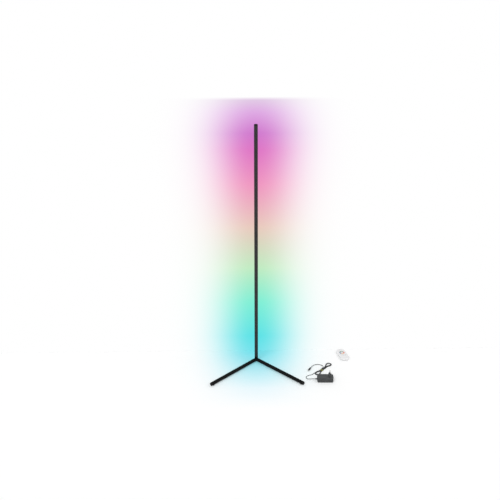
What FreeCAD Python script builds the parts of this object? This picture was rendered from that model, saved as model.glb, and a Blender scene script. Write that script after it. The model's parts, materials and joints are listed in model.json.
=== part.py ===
import FreeCAD, Part
import Sketcher
import math
import os
from types import SimpleNamespace

# A corner floor lamp, in millimetres, +Z up. The origin is on the floor under the mast's axis.
# The legs run forward (-Y) to the left and right, and the light leaves through the mast's back
# (+Y), into the corner of the room. Its power adapter with a tied cord and its remote control
# lie on the floor beside it.

SIZES = {
    # the stand as a whole
    "lamp_height": 1400,
    "leg_length": 365,  # from the mast's axis to the end of the cap
    "tube_radius": 10,  # mast, legs, corner piece and caps are flush
    "foot_gap": 2.5,  # from the floor to the underside of the legs
    "fit": 0.15,  # between a plug or spigot and the bore that takes it
    # corner connector
    "hub_reach": 22,  # from the corner to where each tube begins
    "spigot_length": 32,
    "wire_bore_radius": 2.5,
    "wire_bore_y": -4,
    "boss_radius": 7.5,
    "boss_proud": 1.5,  # how far the socket's boss stands out of the tube
    # legs
    "leg_wall": 2,
    "leg_screw_first": 10,  # from the tube's end
    "leg_screw_pitch": 14,
    "leg_screw_radius": 2,
    "leg_screw_head": 3.7,
    "leg_screw_head_tall": 2,
    "leg_screw_length": 9,
    "cap_length": 6,
    "cap_round": 4,
    "cap_plug_length": 12,
    "foot_radius": 6,
    "foot_tall": 4.2,
    "foot_from_tip": 14,
    # mast profile
    "mast_wall": 1.4,
    "web_front": 1.5,
    "web_thick": 1.2,
    "window_angle": 50,  # half of the open part of the wall, in degrees
    "joint_spigot_length": 70,
    "mast_screw_radius": 1.5,
    "mast_screw_head": 2.7,
    "mast_screw_length": 6,
    "mast_screw_side": 4.5,  # from the middle of the web
    "mast_screw_inset": 12,  # from the end of a section
    "mast_screw_play": 0.1,
    # light
    "diffuser_thick": 1.2,
    "diffuser_angle": 49,
    "diffuser_leg_side": 5.4,
    "diffuser_leg_thick": 0.8,
    "seat_gap": 0.3,
    "tape_width": 10,
    "tape_thick": 0.3,
    "tape_start": 78,
    "tape_end_gap": 8,
    "led_width": 5,
    "led_tall": 1.6,
    "led_pitch": 16.6667,
    # controller and wires inside the mast
    "board_width": 11,
    "board_thick": 1.2,
    "board_length": 46,
    "board_start": 88,
    "radio_side": 7,
    "radio_tall": 6,
    "radio_thick": 1.5,
    "radio_up": 8,  # from the board's lower end, as are the next two
    "switch_side": 4,
    "switch_thick": 2.2,
    "switch_up": 18,
    "switch_gap": 0.5,  # from the board's middle line
    "filter_side": 6,
    "filter_tall": 12,
    "filter_thick": 1,
    "filter_up": 28,
    "wire_radius": 0.8,
    "feed_side": 2.2,
    "feed_hole_radius": 1.6,
    "feed_hole_height": 72,
    "wire_lap": 5,  # how far a wire lies along the piece that it is soldered to
    # low-voltage socket
    "socket_radius": 4,
    "socket_length": 10.5,
    "socket_flange_radius": 5.8,
    "socket_flange_thick": 1.5,
    "barrel_radius": 2.75,
    "barrel_length": 9.5,
    "barrel_pin_radius": 1,
    "barrel_play": 0.15,
    # power adapter
    "adapter_x": 382,
    "adapter_y": -218,
    "adapter_turn": -2,
    "adapter_length": 90,
    "adapter_width": 42,
    "adapter_height": 33,
    "adapter_split": 20,
    "adapter_corner": 9,
    "adapter_edge": 8,
    "adapter_top_edge": 2,
    "adapter_wall": 2.2,
    "plug_boss_x": 26,
    "plug_boss_length": 15,
    "plug_boss_width": 35,
    "plug_boss_tall": 14,
    "plug_boss_corner": 6,
    "mains_pin_radius": 2,
    "mains_pin_length": 19,
    "mains_pin_pitch": 19,
    "mains_pin_root": 19,
    "mains_pin_root_radius": 1.7,
    "adapter_post_radius": 2.5,
    "adapter_post_tall": 3.8,
    "adapter_post_inset": 5.5,  # from the board's edges
    "adapter_board_length": 74,
    "adapter_board_width": 34,
    "adapter_board_thick": 1.6,
    "core_x": -4,
    "core_length": 20,
    "core_width": 16,
    "core_tall": 18,
    "winding_radius": 8,
    "winding_length": 22,
    "capacitor_x": -26,
    "capacitor_radius": 6,
    "capacitor_tall": 20,
    "heat_sink_x": 12,
    "heat_sink_thick": 2,
    "heat_sink_width": 26,
    "heat_sink_tall": 14,
    "gland_height": 14,
    "gland_radius": 4,
    "gland_flange": 5.5,
    "gland_flange_thick": 1.5,
    "gland_length": 12,
    "gland_ribs": 4,
    "gland_rib_share": 0.6,  # of a rib and the groove after it
    "gland_groove": 0.7,
    "gland_tip_wall": 1,
    # cord
    "cord_diameter": 3.2,
    "hank_x": 386,
    "hank_y": -100,
    "hank_turn": 51,
    "hank_half": 61,  # from the middle to the centre of each fold
    "hank_straight": 12,
    "hank_tight": 27,  # the runs lie together this far either side of the middle
    "hank_waist": -24,  # where the tie is, along the hank
    "hank_leave": -6,  # where the last run ends and the free stretch begins
    "hank_fold": 9.6,  # three diameters
    "hank_step": 3.8,
    "hank_waist_half": 1.9,
    "hank_layer": 3.7,
    "hank_base": 2.6,
    "hank_tail": 4,  # a straight bit before the first fold
    "tie_width": 4,
    "tie_thick": 0.8,
    "tie_play": 0.1,
    "plug_tail_length": 11,
    "plug_tail_radius": 2.6,
    "plug_body_radius": 5,
    "plug_body_length": 22,
    "plug_chamfer": 1,
    # remote control
    "remote_x": 520,
    "remote_y": 40,
    "remote_turn": 11.3,
    "remote_length": 115,
    "remote_width": 54,
    "remote_height": 19,
    "remote_split": 9,
    "remote_corner": 24,
    "remote_edge": 7,
    "remote_top_edge": 6,
    "remote_wall": 1.8,
    "wheel_y": 12,
    "wheel_outer": 15.2,
    "wheel_inner": 9.2,
    "wheel_thick": 0.4,
    "touch_board_length": 92,
    "touch_board_width": 34,
    "touch_board_thick": 1.2,
    "touch_board_corner": 8,
    "sensor_chip": 8,
    "sensor_chip_y": 12,
    "remote_radio_width": 18,
    "remote_radio_length": 10,
    "remote_radio_y": 30,
    "touch_chip_thick": 1.6,
    "remote_post_x": 20.5,
    "remote_post_y": 28,
    "remote_post_radius": 3,
    "remote_screw_radius": 1,
    "remote_screw_head": 1.9,
    "remote_screw_head_tall": 1.2,
    "remote_screw_length": 10,
    "cell_radius": 5.25,
    "cell_length": 43.5,
    "cell_nub_length": 1,
    "cell_nub_radius": 1.9,
    "cell_height": 7.75,
    "cell_side": 5.6,
    "cell_end_y": -6,
    "contact_thick": 0.5,
    "contact_inset": 1,  # inside the cell's radius
    "spring_length": 3.4,
    "spring_narrow": 1.9,
    "spring_wide": 3.4,
    "door_width": 28,
    "door_top_y": -4,
    "door_thick": 1.4,
    "door_play": 0.25,
    "door_recess": 0.3,
    "grip_grooves": 4,
    "grip_pitch": 2.6,
    "grip_width": 1.2,
    "grip_length": 14,
    "grip_deep": 0.5,
    "grip_start": 30,  # from the door's upper end
}


class Length:
    """A length with the document's formula for it."""

    def __init__(self, value, text):
        self.value = float(value)
        self.text = text

    def __add__(self, other):
        other = as_length(other)
        return Length(self.value + other.value, f"({self.text} + {other.text})")

    def __sub__(self, other):
        other = as_length(other)
        return Length(self.value - other.value, f"({self.text} - {other.text})")

    def __mul__(self, other):
        other = as_length(other)
        return Length(self.value * other.value, f"({self.text} * {other.text})")

    def __truediv__(self, other):
        other = as_length(other)
        return Length(self.value / other.value, f"({self.text} / {other.text})")

    def __rsub__(self, other):
        return as_length(other) - self

    def __neg__(self):
        return self * -1

    __radd__ = __add__
    __rmul__ = __mul__


def as_length(size):
    if isinstance(size, Length):
        return size
    return Length(size, f"({float(size)!r})")


doc = FreeCAD.newDocument("corner_floor_lamp")
sheet = doc.addObject("Spreadsheet::Sheet", "Sizes")
for row, (alias, number) in enumerate(SIZES.items(), start=1):
    sheet.set(f"A{row}", alias)
    sheet.set(f"B{row}", str(number))
    sheet.setAlias(f"B{row}", alias)
doc.recompute()
S = SimpleNamespace(**{alias: Length(number, f"Sizes.{alias}") for alias, number in SIZES.items()})

subparts = {}


def bind(item, prop, size):
    item.setExpression(prop, as_length(size).text)


class Frame:
    """Where an assembly stands: a place on the floor and a turn about +Z, in degrees."""

    def __init__(self, x=0, y=0, turn=0):
        self.x = as_length(x)
        self.y = as_length(y)
        self.degrees = as_length(turn).value
        self.cos = math.cos(math.radians(self.degrees))
        self.sin = math.sin(math.radians(self.degrees))

    def place(self, item, spot, turn=None):
        x, y, z = (as_length(part) for part in spot)
        world = (self.x + x * self.cos - y * self.sin, self.y + x * self.sin + y * self.cos, z)
        yaw = FreeCAD.Rotation(FreeCAD.Vector(0, 0, 1), self.degrees)
        base = FreeCAD.Vector(*(part.value for part in world))
        item.Placement = FreeCAD.Placement(base, yaw.multiply(turn or FreeCAD.Rotation()))
        for axis, part in zip("xyz", world):
            bind(item, f"Placement.Base.{axis}", part)
        return item


ROOM = Frame()
ADAPTER = Frame(S.adapter_x, S.adapter_y, S.adapter_turn)
REMOTE = Frame(S.remote_x, S.remote_y, S.remote_turn)
HANK = Frame(S.hank_x, S.hank_y, S.hank_turn)


def toward(direction):
    """The turn that points a piece's own +Z along a direction."""
    return FreeCAD.Rotation(FreeCAD.Vector(0, 0, 1), FreeCAD.Vector(*direction))


def box(frame, corner, sizes):
    item = doc.addObject("Part::Box", "box")
    for prop, size in zip(("Length", "Width", "Height"), sizes):
        bind(item, prop, size)
    return frame.place(item, corner)


def cylinder(frame, foot, radius, tall, direction=(0, 0, 1)):
    item = doc.addObject("Part::Cylinder", "cylinder")
    bind(item, "Radius", radius)
    bind(item, "Height", tall)
    return frame.place(item, foot, toward(direction))


def cone(frame, foot, radius, end_radius, tall, direction=(0, 0, 1)):
    item = doc.addObject("Part::Cone", "cone")
    bind(item, "Radius1", radius)
    bind(item, "Radius2", end_radius)
    bind(item, "Height", tall)
    return frame.place(item, foot, toward(direction))


def sphere(frame, centre, radius, turn=None):
    item = doc.addObject("Part::Sphere", "ball")
    bind(item, "Radius", radius)
    return frame.place(item, centre, turn)


def fuse(*pieces):
    item = doc.addObject("Part::MultiFuse", "joined")
    item.Shapes = list(pieces)
    return item


def cut(base, *tools):
    item = doc.addObject("Part::Cut", "cut")
    item.Base = base
    item.Tool = tools[0] if len(tools) == 1 else fuse(*tools)
    return item


def common(base, tool):
    item = doc.addObject("Part::Common", "shared")
    item.Base = base
    item.Tool = tool
    return item


def group(*pieces):
    item = doc.addObject("Part::Compound", "group")
    item.Links = list(pieces)
    return item


def keep(label, item):
    """Gives a finished sub-part its name."""
    item.Label = label
    subparts[label] = item
    return item


def new_body(name):
    return doc.addObject("PartDesign::Body", name)


def plane_of(body, role):
    return next(part for part in body.Origin.OriginFeatures if part.Role == role)


def new_sketch(body, role, height=0):
    sketch = body.newObject("Sketcher::SketchObject", "sketch")
    sketch.AttachmentSupport = (plane_of(body, role), [""])
    sketch.MapMode = "FlatFace"
    bind(sketch, "AttachmentOffset.Base.z", height)
    return sketch


def pin_point(sketch, edge, end, x, y):
    """Holds the end of an edge at two formulas, or on an axis where one of them is nought."""
    for size, kind, axis in ((x, "DistanceX", -2), (y, "DistanceY", -1)):
        if not isinstance(size, Length) and size == 0:
            sketch.addConstraint(Sketcher.Constraint("PointOnObject", edge, end, axis))
            continue
        size = as_length(size)
        index = sketch.addConstraint(Sketcher.Constraint(kind, -1, 1, edge, end, size.value))
        bind(sketch, f"Constraints[{index}]", size)


def flat(x, y):
    return FreeCAD.Vector(as_length(x).value, as_length(y).value, 0)


def outline(sketch, corners):
    """A closed outline of straight lines through corners that each follow the sheet."""
    first = sketch.GeometryCount
    count = len(corners)
    for index, corner in enumerate(corners):
        after = corners[(index + 1) % count]
        sketch.addGeometry(Part.LineSegment(flat(*corner), flat(*after)))
    for index, corner in enumerate(corners):
        joint = Sketcher.Constraint(
            "Coincident", first + index, 2, first + (index + 1) % count, 1
        )
        sketch.addConstraint(joint)
        pin_point(sketch, first + index, 1, *corner)
    return sketch


def rectangle(sketch, x, y, length, width):
    return outline(sketch, [(x, y), (x + length, y), (x + length, y + width), (x, y + width)])


def arc_edge(sketch, radius, start, stop):
    """An arc about the sketch's origin, from one angle to another in degrees."""
    circle = Part.Circle(FreeCAD.Vector(), FreeCAD.Vector(0, 0, 1), radius.value)
    arc = Part.ArcOfCircle(circle, math.radians(start), math.radians(stop))
    edge = sketch.addGeometry(arc)
    sketch.addConstraint(Sketcher.Constraint("Coincident", edge, 3, -1, 1))
    index = sketch.addConstraint(Sketcher.Constraint("Radius", edge, radius.value))
    bind(sketch, f"Constraints[{index}]", radius)
    return edge


def disc(sketch, radius):
    edge = sketch.addGeometry(
        Part.Circle(FreeCAD.Vector(), FreeCAD.Vector(0, 0, 1), radius.value)
    )
    sketch.addConstraint(Sketcher.Constraint("Coincident", edge, 3, -1, 1))
    index = sketch.addConstraint(Sketcher.Constraint("Radius", edge, radius.value))
    bind(sketch, f"Constraints[{index}]", radius)
    return sketch


def d_shape(sketch, radius, flat_y, front):
    """The part of a disc in front of (or behind) a straight line across it."""
    height = as_length(flat_y)
    lean = math.degrees(math.asin(height.value / radius.value))
    if front:
        edge = arc_edge(sketch, radius, 180 - lean, 360 + lean)
    else:
        edge = arc_edge(sketch, radius, lean, 180 - lean)
    reach = math.sqrt(radius.value**2 - height.value**2)
    near = FreeCAD.Vector(-reach, height.value, 0)
    far = FreeCAD.Vector(reach, height.value, 0)
    start, stop = (far, near) if front else (near, far)
    line = sketch.addGeometry(Part.LineSegment(start, stop))
    sketch.addConstraint(Sketcher.Constraint("Coincident", edge, 2, line, 1))
    sketch.addConstraint(Sketcher.Constraint("Coincident", line, 2, edge, 1))
    sketch.addConstraint(Sketcher.Constraint("Horizontal", line))
    index = sketch.addConstraint(Sketcher.Constraint("DistanceY", -1, 1, line, 1, height.value))
    bind(sketch, f"Constraints[{index}]", height)
    return sketch


def ring_sector(sketch, inner, outer, half_angle):
    """A band about +Y between two radii, open at both ends."""
    lean = half_angle.value
    across = Length(math.sin(math.radians(lean)), f"sin({half_angle.text})")
    inside = arc_edge(sketch, inner, 90 - lean, 90 + lean)
    outside = arc_edge(sketch, outer, 90 - lean, 90 + lean)
    turn = math.radians(lean)
    for side, end in ((1, 1), (-1, 2)):
        near = FreeCAD.Vector(
            side * inner.value * math.sin(turn), inner.value * math.cos(turn), 0
        )
        far = FreeCAD.Vector(side * outer.value * math.sin(turn), outer.value * math.cos(turn), 0)
        line = sketch.addGeometry(Part.LineSegment(near, far))
        sketch.addConstraint(Sketcher.Constraint("Coincident", line, 1, inside, end))
        sketch.addConstraint(Sketcher.Constraint("Coincident", line, 2, outside, end))
        for point, radius in ((1, inner), (2, outer)):
            x = radius * across * side
            index = sketch.addConstraint(
                Sketcher.Constraint("DistanceX", -1, 1, line, point, x.value)
            )
            bind(sketch, f"Constraints[{index}]", x)
    return sketch


def pad(body, sketch, tall, backward=False):
    feature = body.newObject("PartDesign::Pad", "pad")
    feature.Profile = sketch
    feature.Reversed = backward
    bind(feature, "Length", tall)
    sketch.Visibility = False
    return feature


def pocket(body, sketch, deep):
    """Cuts away along the sketch's own normal."""
    feature = body.newObject("PartDesign::Pocket", "pocket")
    feature.Profile = sketch
    feature.Reversed = True
    bind(feature, "Length", deep)
    return feature


def turned(name, profile):
    """A body turned about its own +Z from an outline of radii and heights."""
    body = new_body(name)
    sketch = outline(new_sketch(body, "XZ_Plane"), profile)
    feature = body.newObject("PartDesign::Revolution", "turning")
    feature.Profile = sketch
    feature.ReferenceAxis = (sketch, ["V_Axis"])
    feature.Angle = 360
    return body


def edges_where(shape, test):
    return [f"Edge{index}" for index, edge in enumerate(shape.Edges, start=1) if test(edge)]


def level_edge(height):
    """Tells the edges that lie at one height."""
    return lambda edge: all(abs(corner.Point.z - height) < 1e-5 for corner in edge.Vertexes)


def upright_edge(edge):
    ends = [corner.Point for corner in edge.Vertexes]
    return len(ends) == 2 and math.hypot(ends[0].x - ends[1].x, ends[0].y - ends[1].y) < 1e-6


def fillet(body, test, radius):
    doc.recompute()
    base = body.Tip
    feature = body.newObject("PartDesign::Fillet", "fillet")
    feature.Base = (base, edges_where(base.Shape, test))
    bind(feature, "Radius", radius)
    return feature


def block(name, length, width, tall, corner, bottom=None, top=None):
    """A block on its own XY plane with rounded corners and, where given, rounded rims."""
    body = new_body(name)
    sketch = rectangle(new_sketch(body, "XY_Plane"), length / -2, width / -2, length, width)
    pad(body, sketch, tall)
    fillet(body, upright_edge, corner)
    if bottom is not None:
        fillet(body, level_edge(0), bottom)
    if top is not None:
        fillet(body, level_edge(as_length(tall).value), top)
    return body


# ---------------------------------------------------------------- tubes along a route


def rounded_route(points, share=0.45):
    """Straight runs joined by tangent arcs, each as large as its two runs allow."""
    spots = [FreeCAD.Vector(*point) for point in points]
    edges = []
    radii = []
    start = spots[0]
    for before, corner, after in zip(spots, spots[1:], spots[2:]):
        back = before - corner
        ahead = after - corner
        trim = share * min(back.Length, ahead.Length)
        half_turn = (math.pi - back.getAngle(ahead)) / 2
        radius = trim / math.tan(half_turn)
        radii.append(radius)
        back.normalize()
        ahead.normalize()
        enter = corner + back * trim
        leave = corner + ahead * trim
        inward = back + ahead
        inward.normalize()
        middle = corner + inward * (radius / math.cos(half_turn) - radius)
        edges.append(Part.LineSegment(start, enter).toShape())
        edges.append(Part.Arc(enter, middle, leave).toShape())
        start = leave
    edges.append(Part.LineSegment(start, spots[-1]).toShape())
    return edges, radii


def tube(label, edges, radius):
    """A round solid along a path of edges; its volume is compared with section times length."""
    path = Part.Wire(edges)
    first = edges[0]
    heading = first.tangentAt(first.FirstParameter)
    section = Part.Wire([Part.makeCircle(radius, first.valueAt(first.FirstParameter), heading)])
    solid = path.makePipeShell([section], True, False)
    ideal = math.pi * radius**2 * path.Length
    print(f"{label}: length {path.Length:.1f}, volume {solid.Volume / ideal:.4f} of its section")
    item = doc.addObject("Part::Feature", label)
    item.Shape = solid
    return keep(label, item)


def print_radii(label, radii, diameter):
    tight = min(radii)
    rounded = ", ".join(f"{radius:.1f}" for radius in radii)
    print(f"{label}: arc radii {rounded}; least {tight / diameter:.1f} diameters")


# ---------------------------------------------------------------- the stand

AXIS_HEIGHT = S.foot_gap + S.tube_radius
CORNER = (0, 0, AXIS_HEIGHT)
SLANT = math.sqrt(0.5)
LEG_SIDES = {"left": (-SLANT, -SLANT, 0), "right": (SLANT, -SLANT, 0)}
MAST_FOOT = AXIS_HEIGHT + S.hub_reach
MAST_TOP = S.lamp_height - S.cap_length
SECTION_LENGTH = (MAST_TOP - MAST_FOOT) / 3
SECTION_NAMES = ("mast_lower_section", "mast_middle_section", "mast_upper_section")
BOSS_END = S.tube_radius + S.boss_proud
CHAMBER = S.tube_radius - S.mast_wall
WEB_BACK = S.web_front + S.web_thick
LEG_BORE = S.tube_radius - S.leg_wall
LEG_TUBE_LENGTH = S.leg_length - S.cap_length - S.hub_reach
ROOMY = 1.0  # how far a cutting tool runs past the piece that it cuts


def along_leg(side, distance, height=AXIS_HEIGHT):
    """The point at a distance from the corner along a leg."""
    direction = LEG_SIDES[side]
    return (distance * direction[0], distance * direction[1], height)


def mast_spigot(foot, tall):
    """A D-shaped peg that fills the front chamber of the mast."""
    body = new_body("spigot")
    sketch = d_shape(new_sketch(body, "XY_Plane"), CHAMBER - S.fit, S.web_front - S.fit, True)
    pad(body, sketch, tall)
    return ROOM.place(body, (0, 0, foot))


def mast_screw_spots():
    """The middle height of every pair of screws through the web."""
    joints = [MAST_FOOT + SECTION_LENGTH, MAST_FOOT + SECTION_LENGTH * 2]
    heights = [MAST_FOOT + S.mast_screw_inset]
    for joint in joints:
        heights.append(joint - S.mast_screw_inset)
        heights.append(joint + S.mast_screw_inset)
    return [(S.mast_screw_side * side, height) for height in heights for side in (-1, 1)]


def mast_screw(x, height, play):
    """A countersunk screw from the back of the web forward, or its hole where play is added."""
    head = cone(
        ROOM, (x, WEB_BACK, height), S.mast_screw_head + play,
        S.mast_screw_radius + play, S.web_thick, (0, -1, 0),
    )
    shank = cylinder(
        ROOM, (x, WEB_BACK, height), S.mast_screw_radius + play,
        S.mast_screw_length + play, (0, -1, 0),
    )
    return fuse(head, shank)


def leg_screw_spots(side):
    distances = [S.hub_reach + S.leg_screw_first, S.hub_reach + S.leg_screw_first + S.leg_screw_pitch]
    return [along_leg(side, distance, S.foot_gap) for distance in distances]


def leg_screw(spot, play):
    """A countersunk screw from under a leg upward, or its hole where play is added."""
    head = cone(
        ROOM, spot, S.leg_screw_head + play, S.leg_screw_radius + play, S.leg_screw_head_tall
    )
    shank = cylinder(ROOM, spot, S.leg_screw_radius + play, S.leg_screw_length + play)
    return fuse(head, shank)


def make_corner_connector():
    # the ball's poles and seam lie inside the stubs and the socket's boss
    up, across, back = (FreeCAD.Vector(*way) for way in ((0, 0, 1), (1, 0, 0), (0, 1, 0)))
    pieces = [sphere(ROOM, CORNER, S.tube_radius, FreeCAD.Rotation(up, across, back))]
    pieces.append(cylinder(ROOM, CORNER, S.tube_radius, S.hub_reach))
    for direction in LEG_SIDES.values():
        pieces.append(cylinder(ROOM, CORNER, S.tube_radius, S.hub_reach, direction))
        reach = S.hub_reach + S.spigot_length
        pieces.append(cylinder(ROOM, CORNER, LEG_BORE - S.fit, reach, direction))
    pieces.append(mast_spigot(AXIS_HEIGHT, S.hub_reach + S.spigot_length))
    pieces.append(cylinder(ROOM, CORNER, S.boss_radius, BOSS_END, (0, 1, 0)))
    bore_end = S.wire_bore_y - S.wire_bore_radius - ROOMY / 2
    tools = [
        cylinder(
            ROOM, (0, bore_end, AXIS_HEIGHT), S.socket_radius + S.fit,
            BOSS_END - bore_end + ROOMY, (0, 1, 0),
        ),
        cylinder(
            ROOM, (0, S.wire_bore_y, AXIS_HEIGHT), S.wire_bore_radius,
            S.hub_reach + S.spigot_length + ROOMY,
        ),
    ]
    tools += [mast_screw(x, height, S.mast_screw_play) for x, height in mast_screw_spots()[:2]]
    for side in LEG_SIDES:
        tools += [leg_screw(spot, S.mast_screw_play) for spot in leg_screw_spots(side)]
    keep("corner_connector", cut(fuse(*pieces), *tools))


def make_mast_section(index):
    body = new_body("section")
    pad(body, disc(new_sketch(body, "XY_Plane"), S.tube_radius), SECTION_LENGTH)
    front = d_shape(new_sketch(body, "XY_Plane"), CHAMBER, S.web_front, True)
    pocket(body, front, SECTION_LENGTH)
    back = d_shape(new_sketch(body, "XY_Plane"), CHAMBER, WEB_BACK, False)
    pocket(body, back, SECTION_LENGTH)
    lean = math.radians(S.window_angle.value)
    across = Length(math.sin(lean), f"sin({S.window_angle.text})")
    behind = Length(math.cos(lean), f"cos({S.window_angle.text})")
    near = CHAMBER - ROOMY
    far = S.tube_radius + ROOMY
    window = [
        (near * across * -1, near * behind),
        (near * across, near * behind),
        (far * across, far * behind),
        (far * across, far),
        (far * across * -1, far),
        (far * across * -1, far * behind),
    ]
    pocket(body, outline(new_sketch(body, "XY_Plane"), window), SECTION_LENGTH)
    foot = MAST_FOOT + SECTION_LENGTH * index
    ROOM.place(body, (0, 0, foot))
    low = foot.value
    high = low + SECTION_LENGTH.value
    tools = [
        mast_screw(x, height, S.mast_screw_play)
        for x, height in mast_screw_spots()
        if low < height.value < high
    ]
    if index == 0:
        hole = cylinder(
            ROOM, (S.feed_side, S.web_front - ROOMY, S.feed_hole_height),
            S.feed_hole_radius, S.web_thick + ROOMY * 2, (0, 1, 0),
        )
        tools.append(hole)
    keep(SECTION_NAMES[index], cut(body, *tools))


def make_joint_spigot(label, index):
    joint = MAST_FOOT + SECTION_LENGTH * index
    spigot = mast_spigot(joint - S.joint_spigot_length / 2, S.joint_spigot_length)
    reach = S.joint_spigot_length.value / 2
    tools = [
        mast_screw(x, height, S.mast_screw_play)
        for x, height in mast_screw_spots()
        if abs(height.value - joint.value) < reach
    ]
    keep(label, cut(spigot, *tools))


def make_leg(side):
    body = new_body("leg")
    pad(body, disc(new_sketch(body, "XY_Plane"), S.tube_radius), LEG_TUBE_LENGTH)
    pocket(body, disc(new_sketch(body, "XY_Plane"), LEG_BORE), LEG_TUBE_LENGTH)
    ROOM.place(body, along_leg(side, S.hub_reach), toward(LEG_SIDES[side]))
    tools = [leg_screw(spot, S.mast_screw_play) for spot in leg_screw_spots(side)]
    keep(f"{side}_leg_tube", cut(body, *tools))


def make_leg_cap(side):
    body = new_body("cap")
    pad(body, disc(new_sketch(body, "XY_Plane"), S.tube_radius), S.cap_length)
    pad(body, disc(new_sketch(body, "XY_Plane"), LEG_BORE - S.fit), S.cap_plug_length, True)
    fillet(body, level_edge(S.cap_length.value), S.cap_round)
    ROOM.place(body, along_leg(side, S.leg_length - S.cap_length), toward(LEG_SIDES[side]))
    keep(f"{side}_leg_cap", body)


def make_mast_cap():
    body = new_body("cap")
    pad(body, disc(new_sketch(body, "XY_Plane"), S.tube_radius), S.cap_length)
    plug = d_shape(new_sketch(body, "XY_Plane"), CHAMBER - S.fit, S.web_front - S.fit, True)
    pad(body, plug, S.cap_plug_length, True)
    fillet(body, level_edge(S.cap_length.value), S.cap_round)
    ROOM.place(body, (0, 0, MAST_TOP))
    keep("mast_cap", body)


def make_feet():
    """Rubber pads whose tops are hollowed to the tubes that they are glued to."""
    hollow = S.tube_radius + S.fit / 3
    tools = [sphere(ROOM, CORNER, hollow, toward((1, 0, 0)))]
    tools += [cylinder(ROOM, CORNER, hollow, S.hub_reach, way) for way in LEG_SIDES.values()]
    keep("corner_foot", cut(cylinder(ROOM, (0, 0, 0), S.foot_radius, S.foot_tall), *tools))
    for side, direction in LEG_SIDES.items():
        foot = along_leg(side, S.leg_length - S.cap_length - S.foot_from_tip, 0)
        pad_piece = cylinder(ROOM, foot, S.foot_radius, S.foot_tall)
        tool = cylinder(ROOM, CORNER, hollow, S.leg_length, direction)
        keep(f"{side}_foot", cut(pad_piece, tool))


def make_screws():
    keep("mast_screws", group(*(mast_screw(x, height, 0) for x, height in mast_screw_spots())))
    spots = [spot for side in LEG_SIDES for spot in leg_screw_spots(side)]
    keep("leg_screws", group(*(leg_screw(spot, 0) for spot in spots)))


# ---------------------------------------------------------------- light and wiring

TAPE_BACK = WEB_BACK + S.tape_thick
TAPE_LENGTH = MAST_TOP - S.tape_end_gap - S.tape_start
BOARD_FRONT = S.web_front - S.board_thick
SOCKET_FOOT = BOSS_END - S.socket_length


def make_diffuser():
    body = new_body("diffuser")
    inner = S.tube_radius - S.diffuser_thick
    length = MAST_TOP - MAST_FOOT
    shell = ring_sector(new_sketch(body, "XY_Plane"), inner, S.tube_radius, S.diffuser_angle)
    pad(body, shell, length)
    low = WEB_BACK + S.seat_gap
    side = S.diffuser_leg_side + S.diffuser_leg_thick
    buried = math.sqrt(inner.value**2 - side.value**2) + S.diffuser_thick.value / 2
    tall = Length(
        buried - low.value,
        f"(sqrt({inner.text}^2 - {side.text}^2) + {S.diffuser_thick.text} / 2 - {low.text})",
    )
    legs = new_sketch(body, "XY_Plane")
    rectangle(legs, S.diffuser_leg_side, low, S.diffuser_leg_thick, tall)
    rectangle(legs, -side, low, S.diffuser_leg_thick, tall)
    pad(body, legs, length)
    ROOM.place(body, (0, 0, MAST_FOOT))
    keep("diffuser", body)


def make_led_tape():
    tape = box(
        ROOM, (S.tape_width / -2, WEB_BACK, S.tape_start),
        (S.tape_width, S.tape_thick, TAPE_LENGTH),
    )
    keep("led_tape", tape)
    width = S.led_width.value
    count = int(TAPE_LENGTH.value / S.led_pitch.value)
    chips = []
    for index in range(count):
        foot = S.tape_start.value + (index + 0.5) * S.led_pitch.value - width / 2
        chip = Part.makeBox(
            width, S.led_tall.value, width, FreeCAD.Vector(-width / 2, TAPE_BACK.value, foot)
        )
        chips.append(chip)
    item = doc.addObject("Part::Feature", "led_chips")
    item.Shape = Part.makeCompound(chips)
    keep("led_chips", item)


def make_controller():
    """The radio receiver and dimmer, glued to the front of the web."""
    board = box(
        ROOM, (S.board_width / -2, BOARD_FRONT, S.board_start),
        (S.board_width, S.board_thick, S.board_length),
    )
    # each chip: its left side, how far up it starts, wide, tall, thick
    chips = (
        (S.radio_side / -2, S.radio_up, S.radio_side, S.radio_tall, S.radio_thick),
        (
            -S.switch_gap - S.switch_side, S.switch_up,
            S.switch_side, S.switch_side, S.switch_thick,
        ),
        (S.switch_gap, S.switch_up, S.switch_side, S.switch_side, S.switch_thick),
        (S.filter_side / -2, S.filter_up, S.filter_side, S.filter_tall, S.filter_thick),
    )
    parts = [board]
    for across, up, wide, tall, thick in chips:
        corner = (across, BOARD_FRONT - thick, S.board_start + up)
        parts.append(box(ROOM, corner, (wide, thick, tall)))
    keep("controller_board", fuse(*parts))


def make_inner_wires():
    """The supply wire rises from the socket to the board; the feed goes back to the tape."""
    radius = S.wire_radius.value
    socket_back = SOCKET_FOOT.value
    rise = S.wire_bore_y.value
    board_end = S.board_start.value
    lap = S.wire_lap.value
    hub = AXIS_HEIGHT.value
    board_y = BOARD_FRONT.value - radius
    supply = [
        (0, socket_back, hub),
        (0, rise, hub),
        (0, rise, MAST_FOOT.value + S.spigot_length.value + ROOMY * 2),
        (-S.feed_side.value, board_y, board_end - S.radio_up.value),
        (-S.feed_side.value, board_y, board_end + lap),
    ]
    edges, radii = rounded_route(supply)
    print_radii("supply_wire", radii, 2 * radius)
    tube("supply_wire", edges, radius)
    side = S.feed_side.value
    tape_y = TAPE_BACK.value + radius
    hole = S.feed_hole_height.value
    feed = [
        (side, board_y, board_end + lap),
        (side, board_y, hole),
        (side, tape_y, hole),
        (side, tape_y, S.tape_start.value + lap),
    ]
    edges, radii = rounded_route(feed)
    print_radii("feed_wire", radii, 2 * radius)
    tube("feed_wire", edges, radius)


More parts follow.
